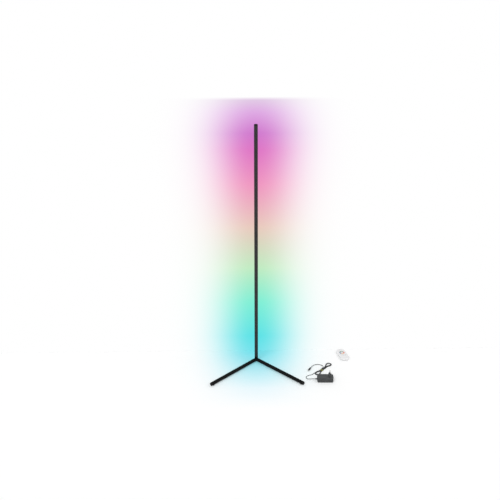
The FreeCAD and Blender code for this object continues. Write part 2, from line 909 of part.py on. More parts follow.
def make_socket():
    """The low-voltage socket at the back of the corner piece, and its centre pin."""
    back = (0, SOCKET_FOOT, AXIS_HEIGHT)
    body = fuse(
        cylinder(ROOM, back, S.socket_radius, S.socket_length, (0, 1, 0)),
        cylinder(
            ROOM, (0, BOSS_END, AXIS_HEIGHT), S.socket_flange_radius,
            S.socket_flange_thick, (0, 1, 0),
        ),
    )
    face = BOSS_END + S.socket_flange_thick
    hole_foot = face - S.barrel_length - S.barrel_play
    hole = cylinder(
        ROOM, (0, hole_foot, AXIS_HEIGHT), S.barrel_radius + S.barrel_play,
        S.barrel_length + ROOMY, (0, 1, 0),
    )
    keep("dc_socket", cut(body, hole))
    pin = cylinder(
        ROOM, (0, hole_foot, AXIS_HEIGHT), S.barrel_pin_radius, S.barrel_length - ROOMY, (0, 1, 0)
    )
    keep("dc_socket_pin", pin)


# ---------------------------------------------------------------- power adapter

BOARD_HEIGHT = S.adapter_wall + S.adapter_post_tall
BOARD_TOP = BOARD_HEIGHT + S.adapter_board_thick
BOSS_TOP = S.adapter_height + S.plug_boss_tall
PIN_SIDES = (S.mains_pin_pitch / -2, S.mains_pin_pitch / 2)
ADAPTER_END = S.adapter_length / -2


def inner_block(length, width, tall, corner, wall, bottom=None, top=None):
    """The hollow of a shell, one wall inside its outer block all round."""
    return block(
        "hollow", length - wall * 2, width - wall * 2, tall, corner - wall,
        None if bottom is None else bottom - wall, None if top is None else top - wall,
    )


def make_adapter_base():
    outer = block(
        "base", S.adapter_length, S.adapter_width, S.adapter_split, S.adapter_corner,
        bottom=S.adapter_edge,
    )
    ADAPTER.place(outer, (0, 0, 0))
    hollow = inner_block(
        S.adapter_length, S.adapter_width, S.adapter_split, S.adapter_corner, S.adapter_wall,
        bottom=S.adapter_edge,
    )
    ADAPTER.place(hollow, (0, 0, S.adapter_wall))
    hole = cylinder(
        ADAPTER, (ADAPTER_END - ROOMY, 0, S.gland_height), S.gland_radius + S.fit,
        S.adapter_wall + ROOMY * 2, (1, 0, 0),
    )
    posts = []
    post_x = S.adapter_board_length / 2 - S.adapter_post_inset
    post_y = S.adapter_board_width / 2 - S.adapter_post_inset
    for x in (-post_x, post_x):
        for y in (-post_y, post_y):
            foot = (x, y, S.adapter_wall / 2)
            tall = S.adapter_post_tall + S.adapter_wall / 2
            posts.append(cylinder(ADAPTER, foot, S.adapter_post_radius, tall))
    keep("adapter_base", fuse(cut(outer, hollow, hole), *posts))


def make_adapter_cover():
    tall = S.adapter_height - S.adapter_split
    outer = block(
        "cover", S.adapter_length, S.adapter_width, tall, S.adapter_corner,
        top=S.adapter_top_edge,
    )
    ADAPTER.place(outer, (0, 0, S.adapter_split))
    boss = block(
        "boss", S.plug_boss_length, S.plug_boss_width, S.plug_boss_tall + S.adapter_wall,
        S.plug_boss_corner, top=S.adapter_top_edge,
    )
    ADAPTER.place(boss, (S.plug_boss_x, 0, S.adapter_height - S.adapter_wall))
    hollow = inner_block(
        S.adapter_length, S.adapter_width, tall, S.adapter_corner, S.adapter_wall
    )
    ADAPTER.place(hollow, (0, 0, S.adapter_split - S.adapter_wall))
    holes = [
        cylinder(
            ADAPTER, (S.plug_boss_x, y, S.adapter_split), S.mains_pin_root_radius + S.fit,
            S.plug_boss_tall + tall + ROOMY,
        )
        for y in PIN_SIDES
    ]
    keep("adapter_cover", cut(fuse(outer, boss), hollow, *holes))


def make_mains_pins():
    pins = []
    radius = S.mains_pin_radius
    root = S.mains_pin_root
    root_radius = S.mains_pin_root_radius
    tall = S.mains_pin_length + root
    for y in PIN_SIDES:
        profile = [
            (0, 0), (root_radius, 0), (root_radius, root), (radius, root),
            (radius, tall - radius), (radius * 0.7, tall - radius * 0.3),
            (radius * 0.4, tall), (0, tall),
        ]
        pin = turned("pin", profile)
        pins.append(ADAPTER.place(pin, (S.plug_boss_x, y, BOSS_TOP - S.mains_pin_root)))
    keep("mains_pins", group(*pins))


def make_adapter_inside():
    board = box(
        ADAPTER, (S.adapter_board_length / -2, S.adapter_board_width / -2, BOARD_HEIGHT),
        (S.adapter_board_length, S.adapter_board_width, S.adapter_board_thick),
    )
    keep("adapter_board", board)
    core = box(
        ADAPTER, (S.core_x - S.core_length / 2, S.core_width / -2, BOARD_TOP),
        (S.core_length, S.core_width, S.core_tall),
    )
    winding = cylinder(
        ADAPTER, (S.core_x, S.winding_length / -2, BOARD_TOP + S.core_tall / 2),
        S.winding_radius, S.winding_length, (0, 1, 0),
    )
    keep("transformer", fuse(core, winding))
    can = cylinder(
        ADAPTER, (S.capacitor_x, 0, BOARD_TOP), S.capacitor_radius, S.capacitor_tall
    )
    keep("smoothing_capacitor", can)
    sink = box(
        ADAPTER, (S.heat_sink_x, S.heat_sink_width / -2, BOARD_TOP),
        (S.heat_sink_thick, S.heat_sink_width, S.heat_sink_tall),
    )
    keep("heat_sink", sink)


def make_gland():
    """The rubber strain relief, with a flange inside the end wall and ribs outside it."""
    flange = S.gland_flange_thick
    inside = S.adapter_wall + flange
    radius = S.gland_radius
    tip = S.cord_diameter / 2 + S.gland_tip_wall
    length = S.gland_length
    profile = [(0, 0), (S.gland_flange, 0), (S.gland_flange, flange - S.fit)]
    profile.append((radius, flange - S.fit))
    ribs = int(S.gland_ribs.value)
    for rib in range(ribs):
        start = inside + length * (rib / ribs)
        stop = inside + length * (S.gland_rib_share + rib) / ribs
        thick = radius + (tip - radius) * (rib / ribs)
        groove = thick - S.gland_groove
        profile += [(thick, start), (thick, stop), (groove, stop)]
        profile.append((groove, inside + length * ((rib + 1) / ribs)))
    profile.append((0, inside + length))
    body = turned("gland", tidy_profile(profile))
    foot = (ADAPTER_END + inside, 0, S.gland_height)
    ADAPTER.place(body, foot, toward((-1, 0, 0)))
    keep("cord_gland", body)


def tidy_profile(profile):
    """Drops corners that fall on the one before."""
    kept = []
    for corner in profile:
        x, y = (as_length(part).value for part in corner)
        if kept:
            last_x, last_y = (as_length(part).value for part in kept[-1])
            if math.hypot(x - last_x, y - last_y) < 1e-6:
                continue
        kept.append(corner)
    return kept


# ---------------------------------------------------------------- the adapter's cord

CORD_RADIUS = S.cord_diameter.value / 2

# The free stretch from the gland round to the hank, and the one from the hank to the plug.
ROUTE_TO_HANK = [
    (325.03, -216.01, 14.0),
    (309.04, -215.45, 14.0),
    (293.5, -211.0, 9.5),
    (281.0, -200.0, 4.2),
    (277.5, -183.0, 1.9),
    (285.0, -168.5, 1.7),
    (299.0, -160.5, 1.7),
    (313.0, -157.0, 2.2),
    (324.18, -149.01, 2.6),
]
ROUTE_TO_PLUG = [
    (386.61, -90.2, 6.3),
    (388.0, -72.5, 6.2),
    (380.5, -57.5, 2.9),
    (366.0, -49.5, 1.9),
    (350.0, -50.5, 2.4),
    (334.5, -59.5, 4.0),
    (323.0, -73.88, 5.2),
]
PLUG_SPOT = (316.0, -86.0, 5.2)
PLUG_HEADING = (-0.5, -0.866, 0)


def hank_spot(along, side, height):
    """A point given along and across the hank, in the room."""
    return FreeCAD.Vector(
        HANK.x.value + along * HANK.cos - side * HANK.sin,
        HANK.y.value + along * HANK.sin + side * HANK.cos,
        height,
    )


def s_bend(start, stop, extra=0):
    """Two arcs from one point to another, both ends heading along the hank.

    The first arc's radius is larger by the extra than if both were equal, the second's smaller.
    """
    along, side, height = (b - a for a, b in zip(start, stop))
    offset = math.hypot(side, height)
    if offset < 1e-6:
        return [Part.LineSegment(hank_spot(*start), hank_spot(*stop)).toShape()]
    chord = math.hypot(along, offset)
    radius = chord**2 / (4 * offset)
    half_turn = math.atan2(offset, abs(along))
    reach = math.copysign(math.sin(half_turn), along)
    rise = (1 - math.cos(half_turn)) / offset
    moves = (reach, side * rise, height * rise)
    share = (radius + extra) / (radius * 2)
    middle = tuple(a + (b - a) * share for a, b in zip(start, stop))
    near = tuple(a + move * (radius + extra) for a, move in zip(start, moves))
    far = tuple(b - move * (radius - extra) for b, move in zip(stop, moves))
    first = Part.Arc(hank_spot(*start), hank_spot(*near), hank_spot(*middle)).toShape()
    second = Part.Arc(hank_spot(*middle), hank_spot(*far), hank_spot(*stop)).toShape()
    return [first, second]


def hank_edges():
    """Three loops in two layers: inward below, up a layer, and outward above."""
    half = S.hank_half.value
    straight = S.hank_straight.value
    tight = S.hank_tight.value
    step = S.hank_step.value
    fold = S.hank_fold.value
    low = S.hank_base.value
    high = low + S.hank_layer.value
    narrow = S.hank_waist_half.value
    wide = narrow + step
    # each run's distance from the middle where it is tight, and its height
    runs = [
        (wide, low), (wide, low), (narrow, low), (narrow, low),
        (narrow, high), (narrow, high), (wide, high),
    ]
    # the radius of the fold after each run, in half steps over the smallest
    fold_steps = [3, 2, 1, 0, 1, 2]
    tail = S.hank_tail.value
    radius = fold + 2 * step
    before = low
    edges = []
    for index, (middle, height) in enumerate(runs):
        way = 1 if index % 2 == 0 else -1  # a run that heads out lies on the far side
        ends = -half * way
        lead = tail if index == 0 else 0
        start = (ends - lead * way, way * radius, before)
        turn_in = (ends + straight * way, way * radius, height)
        meets = (-tight * way, way * middle, height)
        # an outer run bends sooner and an inner one later, a step apart all the way
        extra = step / 2 if middle == wide else step / -2
        edges += s_bend(start, turn_in) + s_bend(turn_in, meets, extra)
        before = height
        if index == len(fold_steps):
            edges += s_bend(meets, (S.hank_leave.value, way * middle, height))
            break
        parts = (tight * way, way * middle, height)
        radius = fold + fold_steps[index] * step / 2
        turn_out = ((half - straight) * way, way * radius, height)
        far = (half * way, way * radius, height)
        edges += s_bend(meets, parts) + s_bend(parts, turn_out, -extra) + s_bend(turn_out, far)
        quarter = ((half + radius) * way, 0, height)
        back = (half * way, -way * radius, height)
        edges.append(Part.Arc(hank_spot(*far), hank_spot(*quarter), hank_spot(*back)).toShape())
    return edges


def least_gap(edges, diameter, spacing=1.0):
    """The least distance of a tube to itself, from points along its middle line."""
    marks = []
    along = 0.0
    for edge in edges:
        count = max(2, int(edge.Length / spacing))
        for index in range(count):
            span = edge.LastParameter - edge.FirstParameter
            spot = edge.valueAt(edge.FirstParameter + span * index / count)
            marks.append((along + edge.Length * index / count, spot))
        along += edge.Length
    near = 1e9
    for index, (here, spot) in enumerate(marks):
        for there, other in marks[index + 1:]:
            if there - here < 4 * diameter:
                continue
            if abs(spot.x - other.x) > 8 or abs(spot.y - other.y) > 8:
                continue
            near = min(near, spot.distanceToPoint(other))
    return near - diameter


def make_cord():
    diameter = S.cord_diameter.value
    edges = hank_edges()
    print(f"cord_hank: least gap to itself {least_gap(edges, diameter):.2f}")
    tube("cord_hank", edges, CORD_RADIUS)
    first, last = edges[0], edges[-1]
    enters = first.valueAt(first.FirstParameter)
    leaves = last.valueAt(last.LastParameter)
    to_hank, radii = rounded_route(ROUTE_TO_HANK + [tuple(enters)])
    print_radii("cord_to_hank", radii, diameter)
    tube("cord_to_hank", to_hank, CORD_RADIUS)
    to_plug, radii = rounded_route([tuple(leaves)] + ROUTE_TO_PLUG + [PLUG_SPOT])
    print_radii("cord_to_plug", radii, diameter)
    tube("cord_to_plug", to_plug, CORD_RADIUS)


def make_cable_tie():
    """A band round the waist of the hank, one thickness off the floor side."""
    half_wide = S.hank_waist_half + S.hank_step + S.cord_diameter / 2 + S.tie_play
    low = S.hank_base - S.cord_diameter / 2 - S.tie_play
    tall = S.hank_layer + S.cord_diameter + S.tie_play * 2
    foot = S.hank_waist - S.tie_width / 2
    outer = box(
        HANK, (foot, -half_wide - S.tie_thick, low - S.tie_thick),
        (S.tie_width, half_wide * 2 + S.tie_thick * 2, tall + S.tie_thick * 2),
    )
    inner = box(
        HANK, (foot - ROOMY, -half_wide, low), (S.tie_width + ROOMY * 2, half_wide * 2, tall)
    )
    keep("cable_tie", cut(outer, inner))


def make_dc_plug():
    radius = S.plug_body_radius
    thin = S.plug_tail_radius
    tail = S.plug_tail_length
    length = tail + S.plug_body_length
    edge = S.plug_chamfer
    profile = [
        (0, 0), (thin, 0), (thin + edge, tail - edge), (radius - edge, tail),
        (radius, tail + edge), (radius, length - edge * 1.5), (radius - edge, length), (0, length),
    ]
    turn = toward(PLUG_HEADING)
    keep("dc_plug_body", ROOM.place(turned("plug", profile), PLUG_SPOT, turn))
    inner = S.barrel_pin_radius + S.barrel_play
    outer = S.barrel_radius
    tall = length + S.barrel_length
    barrel = [(inner, length), (outer, length), (outer, tall), (inner, tall)]
    keep("dc_plug_barrel", ROOM.place(turned("barrel", barrel), PLUG_SPOT, turn))


# ---------------------------------------------------------------- remote control

REMOTE_CEILING = S.remote_height - S.remote_wall
WHEEL_FOOT = S.remote_height - S.wheel_thick
TOUCH_BOARD_FOOT = REMOTE_CEILING - S.touch_board_thick
POST_SPOTS = [
    (S.remote_post_x * side, S.remote_post_y * end) for side in (-1, 1) for end in (-1, 1)
]
CELL_LOW = S.cell_end_y - S.cell_length
REMOTE_END = S.remote_length / -2


def remote_block(name, tall, **rims):
    """A block of the remote's outline, with its length along the remote's own Y."""
    return block(name, S.remote_width, S.remote_length, tall, S.remote_corner, **rims)


def remote_hollow(tall, **rims):
    return inner_block(
        S.remote_width, S.remote_length, tall, S.remote_corner, S.remote_wall, **rims
    )


def make_remote_front():
    tall = S.remote_height - S.remote_split
    outer = remote_block("front", tall, top=S.remote_top_edge)
    REMOTE.place(outer, (0, 0, S.remote_split))
    hollow = remote_hollow(tall, top=S.remote_top_edge)
    REMOTE.place(hollow, (0, 0, S.remote_split - S.remote_wall))
    posts = [
        cylinder(REMOTE, (x, y, S.remote_split), S.remote_post_radius, tall - S.remote_wall / 2)
        for x, y in POST_SPOTS
    ]
    tools = [
        cylinder(
            REMOTE, (x, y, S.remote_split - ROOMY), S.remote_screw_radius + S.fit / 2,
            tall - S.remote_wall - ROOMY,
        )
        for x, y in POST_SPOTS
    ]
    groove = cut(
        cylinder(REMOTE, (0, S.wheel_y, WHEEL_FOOT), S.wheel_outer + S.fit, S.wheel_thick * 3),
        cylinder(REMOTE, (0, S.wheel_y, WHEEL_FOOT), S.wheel_inner - S.fit, S.wheel_thick * 3),
    )
    keep("remote_front", cut(fuse(cut(outer, hollow), *posts), groove, *tools))
    wheel = cut(
        cylinder(REMOTE, (0, S.wheel_y, WHEEL_FOOT), S.wheel_outer, S.wheel_thick),
        cylinder(REMOTE, (0, S.wheel_y, WHEEL_FOOT - ROOMY), S.wheel_inner, ROOMY * 3),
    )
    keep("colour_wheel", wheel)


def make_remote_back():
    outer = remote_block("back", S.remote_split, bottom=S.remote_edge)
    REMOTE.place(outer, (0, 0, 0))
    hollow = remote_hollow(S.remote_split, bottom=S.remote_edge)
    REMOTE.place(hollow, (0, 0, S.remote_wall))
    posts = [
        cylinder(
            REMOTE, (x, y, S.remote_wall / 2), S.remote_post_radius,
            S.remote_split - S.remote_wall / 2,
        )
        for x, y in POST_SPOTS
    ]
    tools = []
    for x, y in POST_SPOTS:
        shank = S.remote_screw_radius + S.fit
        head = S.remote_screw_head + S.fit
        tools.append(cylinder(REMOTE, (x, y, -ROOMY), shank, S.remote_split + ROOMY * 2))
        tools.append(cylinder(REMOTE, (x, y, -ROOMY), head, ROOMY + S.remote_wall))
    play = S.door_play
    opening = box(
        REMOTE, (S.door_width / -2 - play, REMOTE_END - ROOMY, -ROOMY),
        (
            S.door_width + play * 2, S.door_top_y + play - REMOTE_END + ROOMY,
            S.door_recess + S.door_thick + play + ROOMY,
        ),
    )
    keep("remote_back", cut(fuse(cut(outer, hollow), *posts), opening, *tools))


def make_battery_door():
    """The lower part of the back's skin, which slides out over the end of the remote."""
    skin = remote_block("skin", S.remote_split, bottom=S.remote_edge)
    REMOTE.place(skin, (0, 0, 0))
    slab = box(
        REMOTE, (S.door_width / -2, REMOTE_END, S.door_recess),
        (S.door_width, S.door_top_y - REMOTE_END, S.door_thick),
    )
    first = S.door_top_y - S.grip_start
    grooves = [
        box(
            REMOTE, (S.grip_length / -2, first - S.grip_pitch * count, S.door_recess - ROOMY),
            (S.grip_length, S.grip_width, S.grip_deep + ROOMY),
        )
        for count in range(int(S.grip_grooves.value))
    ]
    keep("battery_door", cut(common(skin, slab), *grooves))


def make_remote_screws():
    screws = []
    for x, y in POST_SPOTS:
        foot = S.remote_wall - S.remote_screw_head_tall
        head = cylinder(REMOTE, (x, y, foot), S.remote_screw_head, S.remote_screw_head_tall)
        shank = cylinder(REMOTE, (x, y, foot), S.remote_screw_radius, S.remote_screw_length)
        screws.append(fuse(head, shank))
    keep("remote_screws", group(*screws))


def make_remote_inside():
    board = block(
        "board", S.touch_board_width, S.touch_board_length, S.touch_board_thick,
        S.touch_board_corner,
    )
    REMOTE.place(board, (0, 0, TOUCH_BOARD_FOOT))
    thick = S.touch_chip_thick
    # each chip: wide, long, and how far along the board it starts
    sizes = (
        (S.sensor_chip, S.sensor_chip, S.sensor_chip_y),
        (S.remote_radio_width, S.remote_radio_length, S.remote_radio_y),
    )
    chips = [
        box(REMOTE, (wide / -2, y, TOUCH_BOARD_FOOT - thick), (wide, long, thick * 1.3))
        for wide, long, y in sizes
    ]
    keep("touch_board", fuse(board, *chips))
    for label, side, way in (("left_cell", -1, 1), ("right_cell", 1, -1)):
        nub = S.cell_nub_radius
        body_length = S.cell_length - S.cell_nub_length
        profile = [
            (0, 0), (S.cell_radius, 0), (S.cell_radius, body_length), (nub, body_length),
            (nub, S.cell_length), (0, S.cell_length),
        ]
        foot_y = CELL_LOW if way == 1 else S.cell_end_y
        cell = turned("cell", profile)
        REMOTE.place(cell, (S.cell_side * side, foot_y, S.cell_height), toward((0, way, 0)))
        keep(label, cell)
    make_cell_contacts()


def make_cell_contacts():
    """A flat plate at each cell's nub and a coned spring at its other end."""
    reach = S.cell_radius - S.contact_inset
    plates = []
    springs = []
    for side, way in ((-1, 1), (1, -1)):
        x = S.cell_side * side
        nub_y = S.cell_end_y if way == 1 else CELL_LOW
        flat_y = CELL_LOW if way == 1 else S.cell_end_y
        corner_y = nub_y + S.seat_gap if way == 1 else nub_y - S.seat_gap - S.contact_thick
        plates.append(
            box(
                REMOTE, (x - reach, corner_y, S.cell_height - reach),
                (reach * 2, S.contact_thick, reach * 2),
            )
        )
        foot = (x, flat_y - S.seat_gap * way, S.cell_height)
        spring = cone(
            REMOTE, foot, S.spring_narrow, S.spring_wide, S.spring_length, (0, -way, 0)
        )
        springs.append(spring)
    keep("cell_plates", group(*plates))
    keep("cell_springs", group(*springs))


# ---------------------------------------------------------------- build, check and write


def build():
    make_corner_connector()
    for index in range(len(SECTION_NAMES)):
        make_mast_section(index)
    make_joint_spigot("lower_joint_spigot", 1)
    make_joint_spigot("upper_joint_spigot", 2)
    make_mast_cap()
    for side in LEG_SIDES:
        make_leg(side)
        make_leg_cap(side)
    make_feet()
    make_screws()
    make_diffuser()
    make_led_tape()
    make_controller()
    make_inner_wires()
    make_socket()
    make_adapter_base()
    make_adapter_cover()
    make_mains_pins()
    make_adapter_inside()
    make_gland()
    make_cord()
    make_cable_tie()
    make_dc_plug()
    make_remote_front()
    make_remote_back()
    make_battery_door()
    make_remote_screws()
    make_remote_inside()
    doc.recompute()


def check():
    for item in doc.Objects:
        if "Invalid" in item.State or "Error" in item.State:
            raise RuntimeError(f"{item.Name} ({item.Label}) is in the state {item.State}")
    for label, item in subparts.items():
        shape = item.Shape
        if shape.isNull() or not shape.isValid() or not shape.Solids:
            raise RuntimeError(f"{label} has no valid solid")


def write():
    os.makedirs("parts", exist_ok=True)
    for label, item in subparts.items():
        item.Shape.exportStep(os.path.join("parts", f"{label}.step"))
    print(f"{len(subparts)} sub-parts written")


build()
check()
write()
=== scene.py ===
import json
import math

import bmesh
import bpy
from mathutils import Matrix, Vector


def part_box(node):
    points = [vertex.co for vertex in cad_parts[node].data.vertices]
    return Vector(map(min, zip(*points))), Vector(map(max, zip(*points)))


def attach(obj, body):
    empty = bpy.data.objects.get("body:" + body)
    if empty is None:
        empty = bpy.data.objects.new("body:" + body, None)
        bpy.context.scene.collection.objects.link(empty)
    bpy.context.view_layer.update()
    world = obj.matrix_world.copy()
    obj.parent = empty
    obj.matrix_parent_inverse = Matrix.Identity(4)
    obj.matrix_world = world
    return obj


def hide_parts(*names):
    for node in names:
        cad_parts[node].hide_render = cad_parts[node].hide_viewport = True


# A corner floor lamp with its power adapter and remote control, in metres, +Z up. The mast stands
# at the origin and the legs run forward (-Y).

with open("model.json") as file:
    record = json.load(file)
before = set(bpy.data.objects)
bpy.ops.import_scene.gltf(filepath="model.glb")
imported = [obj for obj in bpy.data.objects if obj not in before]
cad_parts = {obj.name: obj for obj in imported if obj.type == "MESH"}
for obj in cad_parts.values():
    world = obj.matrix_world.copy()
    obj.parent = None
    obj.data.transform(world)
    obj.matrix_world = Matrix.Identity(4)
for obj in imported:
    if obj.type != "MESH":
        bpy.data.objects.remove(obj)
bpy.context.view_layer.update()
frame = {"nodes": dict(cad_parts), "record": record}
NODES = frame["nodes"]
SLOT_OF = {part["node"]: part["material_slot"] for part in frame["record"]["subparts"]}

MM = 0.001
MICRON = 0.000001
UP = Vector((0, 0, 1))


def foot_of(node):
    """The height of a CAD node's lowest point."""
    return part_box(node)[0].z


def top_of(node):
    """The height of a CAD node's highest point."""
    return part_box(node)[1].z


# ------------------------------------------------------------------ camera

# fitted to nine measurements of the lamp in the photograph
CAMERA_SPOT = Vector((-0.0336, -3.0932, 1.9322))
CAMERA_PITCH = math.radians(21.565)
CAMERA_ROLL = math.radians(-0.336)
CAMERA_TURN = math.radians(-0.58)  # about the mast
FOCAL_PIXELS = 602.6
FRAME_PIXELS = 500
SENSOR = 36  # in millimetres


def make_camera():
    data = bpy.data.cameras.new("camera")
    data.sensor_width = SENSOR
    data.lens = FOCAL_PIXELS / FRAME_PIXELS * SENSOR
    camera = bpy.data.objects.new("camera", data)
    bpy.context.scene.collection.objects.link(camera)
    ahead = Vector((0, math.cos(CAMERA_PITCH), -math.sin(CAMERA_PITCH)))
    up = Vector((0, math.sin(CAMERA_PITCH), math.cos(CAMERA_PITCH)))
    right = Vector((1, 0, 0))
    tilted_right = right * math.cos(CAMERA_ROLL) + up * math.sin(CAMERA_ROLL)
    tilted_up = up * math.cos(CAMERA_ROLL) - right * math.sin(CAMERA_ROLL)
    pose = Matrix((tilted_right, tilted_up, -ahead)).transposed().to_4x4()
    turn = Matrix.Rotation(CAMERA_TURN, 4, "Z")
    camera.matrix_world = turn @ Matrix.Translation(CAMERA_SPOT) @ pose
    bpy.context.scene.camera = camera


make_camera()

# ------------------------------------------------------------------ places on the floor

REMOTE_SPOT = Vector((0.52, 0.04, 0))
REMOTE_TURN = math.radians(11.3)
HANK_SPOT = Vector((0.386, -0.1, 0))
HANK_TURN = math.radians(51)


def local_to_room(spot, turn, x, y, z=0.0):
    """A point given in the frame of a thing at a spot, turned about +Z, in the room."""
    return Vector((
        spot.x + x * math.cos(turn) - y * math.sin(turn),
        spot.y + x * math.sin(turn) + y * math.cos(turn),
        z,
    ))


# ------------------------------------------------------------------ colours

WHITE = (1, 1, 1)
BLACK = (0, 0, 0)


def paint(colour):
    """A colour as four channels; a socket stays as it is."""
    if isinstance(colour, bpy.types.NodeSocket):
        return colour
    return (*colour, 1.0)


def linear(colour):
    """A colour given as it shows on a screen, as the light that makes it, by the sRGB curve."""
    return tuple(
        part / 12.92 if part <= 0.04045 else ((part + 0.055) / 1.055) ** 2.4 for part in colour
    )


def linear_stops(stops):
    return [(at, linear(colour)) for at, colour in stops]


def shades(colour, change):
    """A colour made darker and lighter by a share."""
    return [tuple(part * scale for part in colour) for scale in (1 - change, 1 + change)]


# ------------------------------------------------------------------ shader trees

NOISE_SPREAD = 0.15  # most of a noise lies within this of a half
WIDE_SPREAD = 0.2  # for a gentler change
HAIRLINE = 0.00012  # half the width of the line where two pieces meet


class Tree:
    """The node tree of a material or of the world, emptied."""

    def __init__(self, owner):
        owner.use_nodes = True
        self.nodes = owner.node_tree.nodes
        self.links = owner.node_tree.links
        self.nodes.clear()

    def node(self, kind, inputs=None, **settings):
        """A new node, with each input set to a value or joined to a socket."""
        node = self.nodes.new(kind)
        for key, value in settings.items():
            setattr(node, key, value)
        for key, value in (inputs or {}).items():
            if isinstance(value, bpy.types.NodeSocket):
                self.links.new(value, node.inputs[key])
            else:
                node.inputs[key].default_value = value
        return node

    def math(self, operation, *values):
        inputs = dict(enumerate(values))
        return self.node("ShaderNodeMath", inputs, operation=operation).outputs[0]

    def chain(self, operation, values):
        """One operation of two inputs, run along several values."""
        total, *others = values
        for value in others:
            total = self.math(operation, total, value)
        return total

    def weighted(self, *pairs):
        """The sum of values that each come with a weight."""
        return self.chain("ADD", [self.math("MULTIPLY", value, weight) for value, weight in pairs])

    def gap(self, value, at):
        """How far a value is from a place."""
        return self.math("ABSOLUTE", self.math("SUBTRACT", value, at))

    def distance(self, first, second):
        """How far a point with two coordinates is from their origin."""
        squares = self.chain("ADD", [self.math("MULTIPLY", part, part) for part in (first, second)])
        return self.math("SQRT", squares)

    def remap(self, value, low, high, to_low=0.0, to_high=1.0):
        inputs = {0: value, 1: low, 2: high, 3: to_low, 4: to_high}
        return self.node("ShaderNodeMapRange", inputs).outputs[0]

    def step(self, value, edge, soft):
        """Nought below the edge and one above it, over a soft width."""
        return self.remap(value, edge - soft, edge + soft)

    def vary(self, noise, low=0.0, high=1.0, spread=NOISE_SPREAD):
        """A noise's middle range, drawn out to run from low to high."""
        return self.remap(noise, 0.5 - spread, 0.5 + spread, low, high)

    def mix(self, share, low, high):
        inputs = {0: share, 6: paint(low), 7: paint(high)}
        return self.node("ShaderNodeMix", inputs, data_type="RGBA").outputs[2]

    def dimmed(self, colour, share):
        inputs = {0: colour, 3: share}
        return self.node("ShaderNodeVectorMath", inputs, operation="SCALE").outputs[0]

    def ramp(self, value, stops):
        node = self.node("ShaderNodeValToRGB", {0: value})
        ramp = node.color_ramp
        for index, (at, colour) in enumerate(stops):
            stop = ramp.elements[index] if index < 2 else ramp.elements.new(at)
            stop.position = at
            stop.color = paint(colour)
        return node.outputs[0]

    def seen_rays(self):
        """One for rays from the camera, a mirror or glass, and nought for the rest."""
        path = self.node("ShaderNodeLightPath")
        kinds = ("Is Camera Ray", "Is Glossy Ray", "Is Transmission Ray")
        return self.chain("MAXIMUM", [path.outputs[kind] for kind in kinds])


class Shader(Tree):
    """A material's tree. Its place is the object's own, in metres, so it moves with the piece."""

    def __init__(self, name):
        self.material = bpy.data.materials.new(name)
        super().__init__(self.material)
        self.place = self.node("ShaderNodeTexCoord").outputs["Object"]

    def axes(self, vector=None):
        node = self.node("ShaderNodeSeparateXYZ", {0: vector or self.place})
        return node.outputs[0], node.outputs[1], node.outputs[2]

    def moved(self, spot, turn):
        """The place in the frame of a thing at a spot, turned about +Z."""
        inputs = {"Vector": self.place, "Location": spot, "Rotation": (0, 0, turn)}
        return self.node("ShaderNodeMapping", inputs, vector_type="TEXTURE").outputs[0]

    def scaled(self, scale):
        inputs = {"Vector": self.place, "Scale": scale}
        return self.node("ShaderNodeMapping", inputs).outputs[0]

    def noise(self, scale, detail=2.0, rough=0.5, vector=None):
        inputs = {
            "Vector": vector or self.place, "Scale": scale, "Detail": detail, "Roughness": rough,
        }
        return self.node("ShaderNodeTexNoise", inputs).outputs["Fac"]

    def hairline(self, value, at):
        """Nought on the line where two pieces meet, and one away from it."""
        return self.step(self.gap(value, at), HAIRLINE, HAIRLINE * 0.5)

    def bump(self, height, deep):
        return self.node("ShaderNodeBump", {"Height": height, "Distance": deep}).outputs[0]

    def finish(self, **inputs):
        """Ends the tree in a principled shader; names have underscores for spaces."""
        named = {key.replace("_", " "): value for key, value in inputs.items()}
        self.output(self.node("ShaderNodeBsdfPrincipled", named))
        return self.material

    def output(self, shader):
        self.node("ShaderNodeOutputMaterial", {0: shader.outputs[0]})

    def surface(
        self, colour, rough, metallic=0.0, specular=0.5, change=0.1, broad=30.0, fine=1500.0,
        deep=10 * MICRON, rough_change=0.06, stretch=(1, 1, 1), coat=0.0, coat_rough=0.1,
    ):
        """Ends the tree in a finish with blotches, fine grain and small changes of gloss."""
        grain = self.noise(fine, detail=3.0, rough=0.6, vector=self.scaled(stretch))
        blotch = self.noise(broad)
        both = self.weighted((grain, 0.5), (blotch, 0.5))
        if isinstance(colour, bpy.types.NodeSocket):
            base = self.dimmed(colour, self.vary(both, 1 - change, 1 + change))
        else:
            base = self.mix(self.vary(both), *shades(colour, change))
        return self.finish(
            Base_Color=base,
            Roughness=self.vary(both, rough - rough_change, rough + rough_change),
            Metallic=metallic,
            Specular_IOR_Level=specular,
            Coat_Weight=coat,
            Coat_Roughness=coat_rough,
            Normal=self.bump(grain, deep),
        )


# ------------------------------------------------------------------ materials of the lamp

MAST_FOOT = foot_of("mast_lower_section")
MAST_TOP = top_of("mast_upper_section")
JOINTS = [foot_of("mast_middle_section"), foot_of("mast_upper_section")]
JOINT_LINE = 0.00035  # half the width of the line between two sections
LEG_START = 0.022  # from the mast's axis, as the next is
LEG_CAP_START = 0.359
LED_START = 0.078
LED_PITCH = 0.0166667  # sixty chips to the metre
PHOSPHOR_RADIUS = 0.0019
LIGHT_FADE = 0.012  # the diffuser lights up over twice this height, below the strip
# share of the light's colour painted into the diffuser's base colour, over its milky white
DIFFUSER_PAINTED_LIGHT = 0.85

